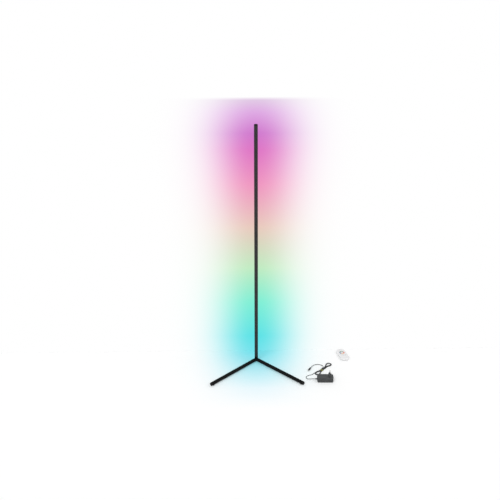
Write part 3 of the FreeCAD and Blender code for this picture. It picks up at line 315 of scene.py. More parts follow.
ANODISED_BLACK = (0.021, 0.021, 0.0215)
JOINT_BLACK = (0.003, 0.003, 0.003)
PAINT_BLACK = (0.0024, 0.0024, 0.0025)
DUST_GREY = (0.04, 0.04, 0.041)
LEG_LINE_HIGHLIGHT = (0.03, 0.03, 0.031)
MILK_GREY = (0.7, 0.7, 0.72)
MILK_WHITE = (0.8, 0.8, 0.8)
LAMINATE_GREENS = ((0.012, 0.1, 0.04), (0.016, 0.13, 0.05))
TRACK_GREEN = (0.05, 0.26, 0.11)
PHOSPHOR_YELLOW = (0.85, 0.72, 0.2)
CHIP_WHITE = (0.82, 0.82, 0.8)

# the light's colours up the mast, as they show on a screen
LIGHT_STOPS = [
    (0.0, (0.55, 0.88, 0.98)),
    (0.09, (0.41, 0.89, 0.91)),
    (0.2, (0.46, 0.92, 0.84)),
    (0.32, (0.67, 0.94, 0.78)),
    (0.45, (0.86, 0.88, 0.76)),
    (0.58, (0.93, 0.77, 0.75)),
    (0.7, (0.94, 0.63, 0.76)),
    (0.83, (0.88, 0.5, 0.78)),
    (1.0, (0.78, 0.48, 0.86)),
]


def anodised():
    """Black extrusion: fine lines along the mast, and a hairline where two sections meet."""
    tree = Shader("mast_anodised")
    lines = tree.noise(2600.0, rough=0.6, vector=tree.scaled((1, 1, 0.003)))
    speck = tree.noise(900.0, detail=3.0, rough=0.6)
    blotch = tree.noise(14.0)
    height = tree.axes()[2]
    gap = tree.chain("MINIMUM", [tree.gap(height, joint) for joint in JOINTS])
    solid = tree.step(gap, JOINT_LINE, JOINT_LINE * 0.4)
    tone = tree.weighted((lines, 0.6), (blotch, 0.4))
    base = tree.mix(tree.vary(tone), *shades(ANODISED_BLACK, 0.25))
    relief = tree.weighted((lines, 0.35), (speck, 0.2), (solid, 4.0))
    return tree.finish(
        Base_Color=tree.mix(solid, JOINT_BLACK, base),
        Metallic=0.0,
        Specular_IOR_Level=0.25,
        Roughness=tree.vary(tone, 0.4, 0.5),
        Normal=tree.bump(relief, deep=10 * MICRON),
    )


def powder_coat(name):
    """Matte black paint with a fine orange-peel skin, a few lighter specks of wear, and lighter
    lines where pieces meet, a painted highlight along their edges.
    """
    tree = Shader(name)
    peel = tree.noise(1100.0)
    blotch = tree.noise(22.0, detail=3.0, rough=0.6)
    dust = tree.step(tree.noise(700.0, detail=1.0), 0.72, 0.03)
    base = tree.mix(tree.vary(blotch), *shades(PAINT_BLACK, 0.3))
    base = tree.mix(tree.math("MULTIPLY", dust, 0.2), base, DUST_GREY)
    x, y, height = tree.axes()
    along = tree.distance(x, y)
    # where the leg tube meets the corner piece and the cap, and at the mast's foot, the lines are
    # painted lighter: a painted highlight on their edges
    solid = tree.chain("MINIMUM", [
        tree.hairline(along, LEG_START),
        tree.hairline(along, LEG_CAP_START),
        tree.hairline(height, MAST_FOOT),
    ])
    relief = tree.math("ADD", tree.math("MULTIPLY", peel, 0.3), solid)
    return tree.finish(
        Base_Color=tree.mix(solid, LEG_LINE_HIGHLIGHT, base),
        Specular_IOR_Level=0.1,
        Roughness=tree.vary(blotch, 0.42, 0.58),
        Normal=tree.bump(relief, deep=120 * MICRON),
    )


def chips_below(tree, height):
    """How many chips of the light strip lie below a height, in whole chips and a share."""
    return tree.math("DIVIDE", tree.math("SUBTRACT", height, LED_START), LED_PITCH)


def diffuser():
    """Milky silicone lit from behind, glowing in colours up the mast with a faint spot at each
    chip; its base colour is mostly the light's colour, painted in.
    """
    tree = Shader("diffuser_silicone")
    height = tree.axes()[2]
    colour = tree.ramp(tree.remap(height, MAST_FOOT, MAST_TOP), linear_stops(LIGHT_STOPS))
    turns = tree.math("SUBTRACT", chips_below(tree, height), 0.5)
    wave = tree.math("COSINE", tree.math("MULTIPLY", turns, math.tau))
    spots = tree.remap(wave, -1.0, 1.0, 0.8, 1.0)
    cloud = tree.noise(60.0)
    glow = tree.math("ADD", spots, tree.vary(cloud, -0.05, 0.05, WIDE_SPREAD))
    lit = tree.step(height, LED_START - LIGHT_FADE, LIGHT_FADE)
    glow = tree.math("MULTIPLY", glow, tree.remap(lit, 0.0, 1.0, 0.35, 1.0))
    skin = tree.noise(1800.0)
    milk = tree.mix(cloud, MILK_GREY, MILK_WHITE)
    # the base colour is mostly the light's colour, painted over the milky white
    return tree.finish(
        Base_Color=tree.mix(DIFFUSER_PAINTED_LIGHT, milk, colour),
        Roughness=tree.vary(skin, 0.42, 0.55, WIDE_SPREAD),
        Emission_Color=tree.dimmed(colour, glow),
        Emission_Strength=0.45,
        Normal=tree.bump(skin, deep=20 * MICRON),
    )


def board():
    """Green laminate: a woven look under the lacquer and lighter tracks."""
    tree = Shader("board_green")
    weave = tree.node("ShaderNodeTexChecker", {"Vector": tree.place, "Scale": 900.0}).outputs[1]
    bricks = {
        "Vector": tree.scaled((400, 400, 400)), "Color1": paint(BLACK), "Color2": paint(BLACK),
        "Mortar": paint(WHITE), "Scale": 0.6, "Mortar Size": 0.05,
    }
    tracks = tree.node("ShaderNodeTexBrick", bricks).outputs[0]
    base = tree.mix(tracks, tree.mix(weave, *LAMINATE_GREENS), TRACK_GREEN)
    return tree.surface(base, rough=0.35, change=0.12, fine=900.0)


def led():
    """Yellow phosphor in a white frame, one chip for each step up the tape."""
    tree = Shader("led_phosphor")
    x, _, height = tree.axes()
    share = tree.math("FRACT", chips_below(tree, height))
    up = tree.math("MULTIPLY", tree.math("SUBTRACT", share, 0.5), LED_PITCH)
    chip_frame = tree.step(tree.distance(x, up), PHOSPHOR_RADIUS, 0.0001)
    base = tree.mix(chip_frame, PHOSPHOR_YELLOW, CHIP_WHITE)
    return tree.surface(base, rough=0.3, change=0.05, fine=3000.0)


# ------------------------------------------------------------------ materials of the adapter

PIN_SLEEVE_TOP = 0.057
ADAPTER_SPLIT = top_of("adapter_base")

HOUSING_BLACK = (0.05, 0.052, 0.053)
SCUFF_GREY = (0.1, 0.1, 0.1)
SPLIT_BLACK = (0.004, 0.004, 0.004)
SLEEVE_BLACK = (0.012, 0.012, 0.013)
NICKELS = ((0.6, 0.59, 0.56), (0.72, 0.71, 0.68))


def adapter_plastic():
    """Black moulded housing with a fine spark-eroded skin and scuffs that catch the light."""
    tree = Shader("adapter_plastic")
    shell = tree.hairline(tree.axes()[2], ADAPTER_SPLIT)
    skin = tree.noise(2200.0, detail=3.0, rough=0.65)
    blotch = tree.noise(45.0, detail=3.0, rough=0.6)
    streaks = tree.noise(300.0, detail=4.0, rough=0.7, vector=tree.scaled((0.2, 1, 1)))
    scuff = tree.step(streaks, 0.66, 0.04)
    base = tree.mix(tree.vary(blotch), *shades(HOUSING_BLACK, 0.18))
    base = tree.mix(tree.math("MULTIPLY", scuff, 0.25), base, SCUFF_GREY)
    relief = tree.math("ADD", skin, tree.math("MULTIPLY", shell, 4.0))
    return tree.finish(
        Base_Color=tree.mix(shell, SPLIT_BLACK, base),
        Specular_IOR_Level=0.4,
        Roughness=tree.vary(skin, 0.44, 0.6),
        Normal=tree.bump(relief, deep=30 * MICRON),
    )


def mains_pin():
    """Nickel-plated tips above black insulating sleeves."""
    tree = Shader("mains_pin")
    metal = tree.step(tree.axes()[2], PIN_SLEEVE_TOP, 0.0001)
    rings = tree.noise(2500.0, vector=tree.scaled((0.05, 0.05, 1)))
    return tree.finish(
        Base_Color=tree.mix(metal, SLEEVE_BLACK, tree.mix(rings, *NICKELS)),
        Metallic=metal,
        Roughness=tree.remap(metal, 0.0, 1.0, 0.45, 0.24),
        Normal=tree.bump(rings, deep=8 * MICRON),
    )


# ------------------------------------------------------------------ materials of the remote

WHEEL_Y = 0.012
REMOTE_SPLIT = top_of("remote_back")
CELL_BAND = -0.02  # where the coloured part of the cells starts, along the remote

SHELL_WHITE = (0.85, 0.85, 0.855)
SHELL_GREY = (0.3, 0.3, 0.31)
CELL_BLACK = (0.02, 0.02, 0.022)
CELL_COPPER = (0.6, 0.28, 0.12)

# the printed wheel's colours, clockwise from its upper end, as they show on a screen
WHEEL_STOPS = [
    (0.0, (0.17, 0.6, 0.32)),
    (0.05, (0.18, 0.52, 0.29)),
    (0.1, (0.27, 0.33, 0.2)),
    (0.15, (0.62, 0.28, 0.2)),
    (0.2, (0.87, 0.27, 0.23)),
    (0.3, (0.9, 0.36, 0.22)),
    (0.4, (0.93, 0.58, 0.28)),
    (0.5, (0.95, 0.68, 0.38)),
    (0.6, (0.97, 0.78, 0.53)),
    (0.612, (0.97, 0.8, 0.57)),
    (0.62, (0.2, 0.3, 0.56)),
    (0.72, (0.16, 0.33, 0.6)),
    (0.82, (0.12, 0.36, 0.5)),
    (0.9, (0.1, 0.45, 0.38)),
    (1.0, (0.17, 0.6, 0.32)),
]


def wheel_print():
    """Ink whose colour runs round the wheel's middle."""
    tree = Shader("wheel_print")
    middle = local_to_room(REMOTE_SPOT, REMOTE_TURN, 0, WHEEL_Y)
    x, y, _ = tree.axes(tree.moved(middle, REMOTE_TURN))
    turns = tree.math("DIVIDE", tree.math("ARCTAN2", x, y), math.tau)
    share = tree.math("FRACT", tree.math("ADD", turns, 1.0))
    base = tree.ramp(share, linear_stops(WHEEL_STOPS))
    return tree.surface(
        base, rough=0.28, change=0.04, fine=5000.0, deep=3 * MICRON, coat=0.4, coat_rough=0.12,
    )


def remote_plastic():
    """White glossy shells with a hairline between them."""
    tree = Shader("remote_plastic")
    shell = tree.hairline(tree.axes()[2], REMOTE_SPLIT)
    base = tree.mix(shell, SHELL_GREY, SHELL_WHITE)
    return tree.surface(
        base, rough=0.26, change=0.012, broad=25.0, fine=2600.0, deep=4 * MICRON,
        rough_change=0.04, coat=0.25, coat_rough=0.08,
    )


def cell_jacket():
    """A plain wrapped cell: black sleeve with a copper-coloured part."""
    tree = Shader("cell_jacket")
    _, y, _ = tree.axes(tree.moved(REMOTE_SPOT, REMOTE_TURN))
    base = tree.mix(tree.step(y, CELL_BAND, 0.0002), CELL_BLACK, CELL_COPPER)
    return tree.surface(base, rough=0.3, change=0.08, fine=1200.0, coat=0.4)


# ------------------------------------------------------------------ all finishes

DRAWN_LINES = (1, 1, 0.02)  # a grain drawn out along Z, as drawing or milling leaves it

# what sets each plain finish apart from Shader.surface as it is
PLAIN_FINISHES = {
    "black_plastic": dict(
        colour=(0.005, 0.005, 0.0052), rough=0.5, specular=0.15, change=0.25, fine=2000.0,
        deep=30 * MICRON,
    ),
    "foot_rubber": dict(
        colour=(0.02, 0.02, 0.021), rough=0.75, specular=0.3, change=0.3, fine=1200.0,
        deep=60 * MICRON,
    ),
    "spigot_metal": dict(
        colour=(0.62, 0.62, 0.63), rough=0.34, metallic=1.0, fine=2000.0, stretch=DRAWN_LINES,
    ),
    "screw_steel": dict(colour=(0.5, 0.5, 0.52), rough=0.3, metallic=1.0, fine=3000.0),
    "tape_white": dict(colour=(0.78, 0.78, 0.76), rough=0.5, change=0.05, fine=1200.0),
    "wire_red": dict(colour=(0.5, 0.03, 0.02), rough=0.4, change=0.15),
    "wire_white": dict(colour=(0.75, 0.75, 0.74), rough=0.4, change=0.06),
    "socket_plastic": dict(
        colour=(0.014, 0.014, 0.015), rough=0.45, specular=0.35, change=0.2, deep=20 * MICRON,
    ),
    "pin_nickel": dict(colour=(0.66, 0.65, 0.62), rough=0.24, metallic=1.0, fine=2500.0),
    "transformer_core": dict(
        colour=(0.05, 0.05, 0.052), rough=0.6, change=0.3, fine=800.0, deep=50 * MICRON,
    ),
    "capacitor_sleeve": dict(colour=(0.02, 0.03, 0.11), rough=0.3, change=0.12, coat=0.3),
    "sink_metal": dict(
        colour=(0.62, 0.62, 0.63), rough=0.36, metallic=1.0, stretch=DRAWN_LINES,
    ),
    "cord_jacket": dict(
        colour=(0.03, 0.0305, 0.032), rough=0.42, specular=0.45, change=0.2, broad=60.0,
        deep=20 * MICRON,
    ),
    "tie_plastic": dict(
        colour=(0.5, 0.52, 0.09), rough=0.4, change=0.15, fine=900.0, deep=30 * MICRON,
    ),
    "contact_steel": dict(colour=(0.66, 0.66, 0.67), rough=0.25, metallic=1.0, fine=2500.0),
    "pale_ink": dict(
        colour=(0.2, 0.2, 0.21), rough=0.4, change=0.12, fine=3000.0, deep=3 * MICRON,
    ),
    "dark_ink": dict(
        colour=(0.06, 0.06, 0.068), rough=0.4, change=0.15, fine=3000.0, deep=3 * MICRON,
    ),
}


def make_finishes():
    plain = {name: Shader(name).surface(**look) for name, look in PLAIN_FINISHES.items()}
    return plain | {
        "mast_anodised": anodised(),
        "leg_paint": powder_coat("leg_paint"),
        "corner_metal": powder_coat("corner_metal"),
        "diffuser_silicone": diffuser(),
        "led_phosphor": led(),
        "board_green": board(),
        "adapter_plastic": adapter_plastic(),
        "remote_plastic": remote_plastic(),
        "wheel_print": wheel_print(),
        "cell_jacket": cell_jacket(),
    }


FINISHES = make_finishes()


def dress_nodes():
    for name, node in NODES.items():
        node.data.materials.clear()
        node.data.materials.append(FINISHES[SLOT_OF[name]])
    NODES["mains_pins"].data.materials[0] = mains_pin()


dress_nodes()

# ------------------------------------------------------------------ the adapter's cord

CORD_DIAMETER = 0.0032
ROUTE_TO_HANK = [
    (0.32503, -0.21601, 0.014),
    (0.30904, -0.21545, 0.014),
    (0.2935, -0.211, 0.0095),
    (0.281, -0.2, 0.0042),
    (0.2775, -0.183, 0.0019),
    (0.285, -0.1685, 0.0017),
    (0.299, -0.1605, 0.0017),
    (0.313, -0.157, 0.0022),
    (0.32418, -0.14901, 0.0026),
]
ROUTE_TO_PLUG = [
    (0.38661, -0.0902, 0.0063),
    (0.388, -0.0725, 0.0062),
    (0.3805, -0.0575, 0.0029),
    (0.366, -0.0495, 0.0019),
    (0.35, -0.0505, 0.0024),
    (0.3345, -0.0595, 0.004),
    (0.323, -0.07388, 0.0052),
    (0.316, -0.086, 0.0052),
]

# the hank, along and across from its middle
HANK_HALF = 0.061  # to the centres of the lower folds
HANK_TIGHT = 0.027  # the runs lie together this far either side of the middle
HANK_TIE = -0.024
HANK_LEAVE = -0.006  # where the last run ends
HANK_TAIL = 0.004  # how far before its first bend the first run starts
HANK_FOLD = 0.0101  # radius of the innermost fold
HANK_STEP = 0.0038  # from one run to the next beside it
HANK_LAYER = 0.0037  # from the lower layer to the upper one
HANK_ENTRY = HANK_FOLD + 2 * HANK_STEP  # how far out the first run starts
HANK_NARROW = HANK_STEP / 2
HANK_WIDE = HANK_NARROW + HANK_STEP
HANK_LOW = 0.0026
HANK_HIGH = HANK_LOW + HANK_LAYER
# each run's distance from the middle where it is tight, and its height
HANK_RUNS = [
    (HANK_WIDE, HANK_LOW),
    (HANK_WIDE, HANK_LOW),
    (HANK_NARROW, HANK_LOW),
    (HANK_NARROW, HANK_LOW),
    (HANK_NARROW, HANK_HIGH),
    (HANK_NARROW, HANK_HIGH),
    (HANK_WIDE, HANK_HIGH),
]
# each fold's half steps out from the innermost, and how far it is moved along
HANK_FOLDS = [(3, 0), (2, 0), (1, 0), (0, 0), (1, -0.004), (2, -0.0025)]
FOLD_POINTS = 5
BEND_SHARES = (0.2, 0.4, 0.6, 0.8)
CLIMB_SHARE = 0.35  # of a crossing, where it changes layer


def hank_point(along, side, height):
    return local_to_room(HANK_SPOT, HANK_TURN, along, side, height)


def crossing(start, stop, wider):
    """Points of two bends from one run to the next; the first one's radius is larger by wider."""
    along, offset, climb = (b - a for a, b in zip(start, stop))
    join = 0.5 + wider * abs(offset) / (along**2 + offset**2)
    points = []
    for share in BEND_SHARES:
        if share < join:
            crossed = share**2 / join
        else:
            crossed = 1 - (1 - share) ** 2 / (1 - join)
        raised = min(1, share / CLIMB_SHARE)
        points.append((
            start[0] + along * share, start[1] + offset * crossed, start[2] + climb * raised,
        ))
    return points


def fold(way, half, radius, height):
    """Points of a half turn round one end of the hank, just outside its arc."""
    step = math.pi / (FOLD_POINTS + 1)
    outer = radius / math.cos(step / 2)
    angles = [step * count for count in range(1, FOLD_POINTS + 1)]
    return [
        ((half + outer * math.sin(angle)) * way, way * outer * math.cos(angle), height)
        for angle in angles
    ]


def hank_turns():
    """Three loops in two layers: inward below, up a layer, and outward above."""
    half, radius, height = HANK_HALF, HANK_ENTRY, HANK_LOW
    points = [(-half - HANK_TAIL, radius, height)]
    for index, (middle, layer) in enumerate(HANK_RUNS):
        way = 1 if index % 2 == 0 else -1
        start = (-half * way, way * radius, height)
        height = layer
        meets = (-HANK_TIGHT * way, way * middle, height)
        # an outer run bends sooner and an inner one later, a step apart all the way
        wider = HANK_STEP if middle == HANK_WIDE else -HANK_STEP
        points += [start, *crossing(start, meets, wider), meets]
        if index < len(HANK_FOLDS):
            half_steps, shift = HANK_FOLDS[index]
            radius = HANK_FOLD + half_steps * HANK_STEP / 2
            half = HANK_HALF + shift
            parts = (HANK_TIGHT * way, way * middle, height)
            stop = (half * way, way * radius, height)
            points += [parts, *crossing(parts, stop, -wider), stop]
            points += fold(way, half, radius, height)
    points.append((HANK_LEAVE, way * middle, height))
    return [hank_point(*point) for point in points]


def cord_curve(name, points, diameter, material):
    data = bpy.data.curves.new(name, "CURVE")
    data.dimensions = "3D"
    spline = data.splines.new("NURBS")
    spline.points.add(len(points) - 1)
    for point, spot in zip(spline.points, points):
        point.co = (*spot, 1)
    spline.order_u = 3
    spline.use_endpoint_u = True
    spline.resolution_u = 8
    data.bevel_depth = diameter / 2
    data.bevel_resolution = 5
    data.use_fill_caps = True
    data.materials.append(material)
    cord = bpy.data.objects.new(name, data)
    bpy.context.scene.collection.objects.link(cord)
    return cord


def make_cord(plug, tie):
    route = [*ROUTE_TO_HANK, *hank_turns(), *ROUTE_TO_PLUG]
    cord = cord_curve("adapter_cord", route, CORD_DIAMETER, FINISHES["cord_jacket"])
    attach(cord, "power_adapter")
    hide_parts("cord_to_hank", "cord_hank", "cord_to_plug")


# ------------------------------------------------------------------ mesh helpers


def link_piece(name, mesh, material, body, smooth=True):
    mesh.normal_update()
    data = bpy.data.meshes.new(name)
    mesh.to_mesh(data)
    mesh.free()
    data.materials.append(material)
    if smooth:
        data.shade_smooth()
    piece = bpy.data.objects.new(name, data)
    bpy.context.scene.collection.objects.link(piece)
    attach(piece, body)
    return piece


def add_walls(mesh, first, second):
    """Joins two rings of equally many vertices with a wall of faces."""
    for index in range(len(first)):
        after = (index + 1) % len(first)
        mesh.faces.new((first[index], first[after], second[after], second[index]))


def add_tube(mesh, rings, closed=False):
    """Skins rings of equally many points; an open tube gets its ends closed."""
    made = [[mesh.verts.new(spot) for spot in ring] for ring in rings]
    for first, second in zip(made, made[1:]):
        add_walls(mesh, first, second)
    if closed:
        add_walls(mesh, made[-1], made[0])
    else:
        mesh.faces.new(list(reversed(made[0])))
        mesh.faces.new(made[-1])


# ------------------------------------------------------------------ low-voltage plug

PLUG_SPOT = Vector(ROUTE_TO_PLUG[-1])
PLUG_HEADING = Vector((-0.5, -0.866, 0)).normalized()
PLUG_LENGTH = 0.033
PLUG_SIDES = 64
PLUG_ROWS = 120
TAIL_LENGTH = 0.011
TAIL_RADIUS = 0.0026
TAIL_GROWTH = 0.0009  # of its radius, from the cord to the grip
TAIL_RIBS = 4
TAIL_RIB_HEIGHT = 0.00035
TAIL_RIB_STEEPNESS = 2.5
NECK_RADIUS = 0.0036
GRIP_RADIUS = 0.005
GRIP_SHOULDER = 0.09  # of the grip's length, as the next four are
GRIP_NOSE = 0.05
RIDGES_FROM = 0.2
RIDGES_TO = 0.74
RIDGES_EASE = 0.05
RIDGE_COUNT = 16
RIDGE_HEIGHT = 0.00045
NOSE_DROP = 0.0008


def clamped(value, low=0.0, high=1.0):
    return max(low, min(high, value))


def quarter_round(share):
    """Rises from nought to one along a quarter circle, and stays there."""
    return math.sqrt(1 - (1 - min(1.0, share)) ** 2)


def tail_radius(share):
    wave = math.sin(math.tau * (share * TAIL_RIBS + 0.25))  # it starts on a rib
    rib = TAIL_RIB_HEIGHT * clamped(TAIL_RIB_STEEPNESS * wave, -1.0)
    return TAIL_RADIUS + TAIL_GROWTH * share + rib


def grip_radius(share, angle):
    radius = NECK_RADIUS + (GRIP_RADIUS - NECK_RADIUS) * quarter_round(share / GRIP_SHOULDER)
    radius -= NOSE_DROP * (1 - quarter_round((1 - share) / GRIP_NOSE))
    begun = clamped((share - RIDGES_FROM) / RIDGES_EASE)
    ending = clamped((RIDGES_TO - share) / RIDGES_EASE)
    ridge = 0.5 - 0.5 * math.cos(RIDGE_COUNT * angle)
    return radius - RIDGE_HEIGHT * begun * ending * (1 - ridge**0.5)


def plug_radius(along, angle):
    """A ribbed tail, then a grip with lengthwise ridges between two smooth bands."""
    if along < TAIL_LENGTH:
        return tail_radius(along / TAIL_LENGTH)
    return grip_radius((along - TAIL_LENGTH) / (PLUG_LENGTH - TAIL_LENGTH), angle)


def make_plug():
    mesh = bmesh.new()
    turn = PLUG_HEADING.to_track_quat("Z", "Y").to_matrix()
    rings = []
    for row in range(PLUG_ROWS + 1):
        along = PLUG_LENGTH * row / PLUG_ROWS
        ring = []
        for side in range(PLUG_SIDES):
            angle = math.tau * side / PLUG_SIDES
            radius = plug_radius(along, angle)
            spot = Vector((radius * math.cos(angle), radius * math.sin(angle), along))
            ring.append(PLUG_SPOT + turn @ spot)
        rings.append(ring)
    add_tube(mesh, rings)
    material = FINISHES["socket_plastic"]
    plug = link_piece("low_voltage_plug", mesh, material, "power_adapter")
    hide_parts("dc_plug_body")
    return plug


# ------------------------------------------------------------------ twist tie

TIE_WIDE = 0.0035
TIE_THICK = 0.0009
TIE_HALF_SIDE = 0.0078
TIE_LOW = 0.0004
TIE_HIGH = 0.0085
TIE_HALF_HIGH = (TIE_HIGH - TIE_LOW) / 2
TIE_ROWS = 48
TIE_CORNERS = 0.55  # the power of its sine and cosine: lower is squarer
RIBBON_SIDES = 12
RIBBON_BEAD = 0.6  # of the half width, where the bead begins
RIBBON_WEB = 0.62  # of the thickness, between the beads
END_SIDE = -0.003  # where the twisted ends start, across the hank
END_LENGTH = 0.012
END_ROWS = 40
END_TWISTS = 2.5
END_RISE = 0.0012
END_SPREAD = 0.0007  # of each end from the middle of the twist
END_PART = 0.75  # of the ends' length, where they part again
END_FLARE = 0.008
END_FLARE_POWER = 1.3
END_TILT = 0.12  # they rise by this much, and run this much along the hank, to one across it
END_SLANT = 0.25
END_WIDE = 0.55 * TIE_WIDE
END_THICK = 0.8 * TIE_THICK

HANK_ALONG = (hank_point(1, 0, 0) - hank_point(0, 0, 0)).normalized()
HANK_ACROSS = (hank_point(0, 1, 0) - hank_point(0, 0, 0)).normalized()


def ribbon_ring(spot, wide_way, thick_way, wide, thick):
    """The outline of a flat ribbon with a rounded bead along each edge, where its wires are."""
    outline = []
    for count in range(RIBBON_SIDES):
        angle = math.tau * count / RIBBON_SIDES
        across = math.cos(angle)
        bead = 1.0 if abs(across) > RIBBON_BEAD else RIBBON_WEB
        outline.append(
            spot + wide_way * (across * wide / 2) + thick_way * (math.sin(angle) * bead * thick / 2)
        )
    return outline


def signed_power(value, power):
    return math.copysign(abs(value) ** power, value)


def tie_band():
    """Rings of the closed band round the hank."""
    rings = []
    for index in range(TIE_ROWS):
        angle = math.tau * index / TIE_ROWS
        cos, sin = math.cos(angle), math.sin(angle)
        side = signed_power(cos, TIE_CORNERS) * TIE_HALF_SIDE
        high = signed_power(sin, TIE_CORNERS) * TIE_HALF_HIGH
        spot = hank_point(HANK_TIE, side, (TIE_LOW + TIE_HIGH) / 2 + high)
        out = (HANK_ACROSS * cos * TIE_HALF_HIGH + UP * sin * TIE_HALF_SIDE).normalized()
        rings.append(ribbon_ring(spot, HANK_ALONG, out, TIE_WIDE, TIE_THICK))
    return rings


def tie_end(strand):
    """Rings of one of the two ends, which lie twisted together on top of the hank."""
    root = hank_point(HANK_TIE, END_SIDE, TIE_HIGH)
    way = (HANK_ACROSS * -1.0 + UP * END_TILT + HANK_ALONG * END_SLANT).normalized()
    across = way.cross(UP).normalized()
    lift = across.cross(way).normalized()
    rings = []
    for index in range(END_ROWS + 1):
        share = index / END_ROWS
        angle = math.tau * END_TWISTS * share + math.pi * strand
        spread = END_SPREAD + END_FLARE * max(0.0, share - END_PART) ** END_FLARE_POWER
        out = across * math.cos(angle) + lift * math.sin(angle)
        spot = root + way * (END_LENGTH * share) + UP * END_RISE + out * spread
        wide_way = across * -math.sin(angle) + lift * math.cos(angle)
        rings.append(ribbon_ring(spot, wide_way, out, END_WIDE, END_THICK))
    return rings


def make_tie():
    mesh = bmesh.new()
    add_tube(mesh, tie_band(), closed=True)
    for strand in (0, 1):
        add_tube(mesh, tie_end(strand))
    tie = link_piece("twist_tie", mesh, FINISHES["tie_plastic"], "power_adapter")
    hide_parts("cable_tie")
    return tie


make_cord(make_plug(), make_tie())

# ------------------------------------------------------------------ printed signs on the remote

PRINT_HALF = 0.00004
PRINT_LOW = top_of("remote_front") - PRINT_HALF
PRINT_HIGH = top_of("remote_front") + PRINT_HALF

# places on the face and sizes of the signs, in millimetres from the remote's middle
COLUMN = 13.5
ROWS = [-9.0, -15.7, -22.4]
TOP_COLUMN = 4.6
TOP_ROW = 36
WHEEL_ROW = WHEEL_Y / MM
STROKE = 0.3
DOT = 0.25
SPARK_OFF = 3.1  # from the switch's middle
RAYS = 8
RAY_SHIFT = 0.15  # outward from the middle between core and reach
RAY_TRIM = 0.2
PETALS = 6
PETAL_REACH = 0.95
CIRCLE_SIDES = 40
ARC_STEPS = 24
END_STEPS = 8  # of a stroke's round end


def face_ring(mesh, outline, height):
    return [
        mesh.verts.new(local_to_room(REMOTE_SPOT, REMOTE_TURN, x * MM, y * MM, height))
        for x, y in outline
    ]


def prism(mesh, outline, hole=None):
    """A very thin plate with an outline on the remote's face and, where given, a hole."""
    loops = []
    for height in (PRINT_LOW, PRINT_HIGH):
        loops += [face_ring(mesh, line, height) for line in (outline, hole) if line is not None]
    if hole is None:
        low, high = loops
        mesh.faces.new(list(reversed(low)))
        mesh.faces.new(high)
        walls = [(low, high)]
    else:
        low, low_hole, high, high_hole = loops
        walls = [(low, high), (high_hole, low_hole), (high, high_hole), (low_hole, low)]
    for first, second in walls:
        add_walls(mesh, first, second)


def circle(x, y, radius, sides=CIRCLE_SIDES):
    angles = [math.tau * step / sides for step in range(sides)]
    return [(x + radius * math.cos(angle), y + radius * math.sin(angle)) for angle in angles]


def disc(mesh, x, y, radius, sides=CIRCLE_SIDES):
    prism(mesh, circle(x, y, radius, sides))


def ring(mesh, x, y, outer, inner):
    prism(mesh, circle(x, y, outer), circle(x, y, inner))


def stroke(mesh, x, y, length, width, angle):
    """A straight line with round ends about its middle, at an angle in degrees."""
    outline = []
    half = (length - width) / 2
    for end in (1, -1):
        for step in range(END_STEPS + 1):
            turn = math.pi * (step / END_STEPS - 0.5) + (0 if end == 1 else math.pi)
            outline.append((end * half + width / 2 * math.cos(turn), width / 2 * math.sin(turn)))
    cos, sin = math.cos(math.radians(angle)), math.sin(math.radians(angle))
    prism(mesh, [(x + u * cos - v * sin, y + u * sin + v * cos) for u, v in outline])


def arc_band(mesh, x, y, outer, inner, start, stop):
    """A part of a ring between two angles, in degrees."""
    angles = [
        math.radians(start + (stop - start) * step / ARC_STEPS) for step in range(ARC_STEPS + 1)
    ]
    far = [(x + outer * math.cos(angle), y + outer * math.sin(angle)) for angle in angles]
    near = [(x + inner * math.cos(angle), y + inner * math.sin(angle)) for angle in angles]
    prism(mesh, far + near[::-1])


def switch_sign(mesh, x, y):
    ring(mesh, x, y, outer=2.2, inner=1.85)
    arc_band(mesh, x, y, outer=1.05, inner=0.75, start=-230, stop=50)
    stroke(mesh, x, y + 0.95, length=1.0, width=STROKE, angle=90)


def sun_sign(mesh, x, y, core, reach):
    disc(mesh, x, y, core)
    middle = (core + reach) / 2 + RAY_SHIFT
    for ray in range(RAYS):
        angle = 360 / RAYS * ray
        spot_x = x + middle * math.cos(math.radians(angle))
        spot_y = y + middle * math.sin(math.radians(angle))
        stroke(mesh, spot_x, spot_y, reach - core - RAY_TRIM, STROKE, angle)


def flower_sign(mesh, x, y):
    ring(mesh, x, y, outer=1.9, inner=1.45)
    disc(mesh, x, y, radius=0.5)
    for petal in range(PETALS):
        angle = math.tau * petal / PETALS
        spot = (x + PETAL_REACH * math.cos(angle), y + PETAL_REACH * math.sin(angle))
        disc(mesh, *spot, radius=0.3, sides=16)


def make_pale_signs():
    """The two rings near the upper end and the lighter signs below the wheel."""
    mesh = bmesh.new()
    switch_sign(mesh, -TOP_COLUMN, TOP_ROW)
    stroke(mesh, SPARK_OFF - TOP_COLUMN, TOP_ROW + 0.5, length=0.9, width=0.5, angle=60)
    ring(mesh, TOP_COLUMN, TOP_ROW, outer=2.2, inner=1.7)
    sun_sign(mesh, -COLUMN, ROWS[0], core=0.75, reach=1.9)
    ring(mesh, -COLUMN, ROWS[2], outer=1.15, inner=0.6)
    ring(mesh, 0, ROWS[1], outer=1.05, inner=0.35)
    link_piece(
        "remote_pale_signs", mesh, FINISHES["pale_ink"], "remote", smooth=False,
    )


def make_dark_signs():
    """The ring in the wheel, the darker signs below it and the dots between the rows."""
    mesh = bmesh.new()
    ring(mesh, 0, WHEEL_ROW, outer=2.9, inner=1.75)
    stroke(mesh, -COLUMN, ROWS[1], length=2.2, width=0.7, angle=40)
    flower_sign(mesh, 0, ROWS[0])
    disc(mesh, 0, ROWS[2], radius=1.3, sides=4)
    sun_sign(mesh, COLUMN, ROWS[0], core=0.8, reach=1.7)
    disc(mesh, COLUMN, ROWS[1], radius=0.95)
    disc(mesh, COLUMN, ROWS[2], radius=1.05)
    for column in (-COLUMN, 0, COLUMN):
        for first, second in zip(ROWS, ROWS[1:]):
            disc(mesh, column, (first + second) / 2, radius=DOT, sides=12)
    link_piece(
        "remote_dark_signs", mesh, FINISHES["dark_ink"], "remote", smooth=False,
    )


make_pale_signs()
make_dark_signs()
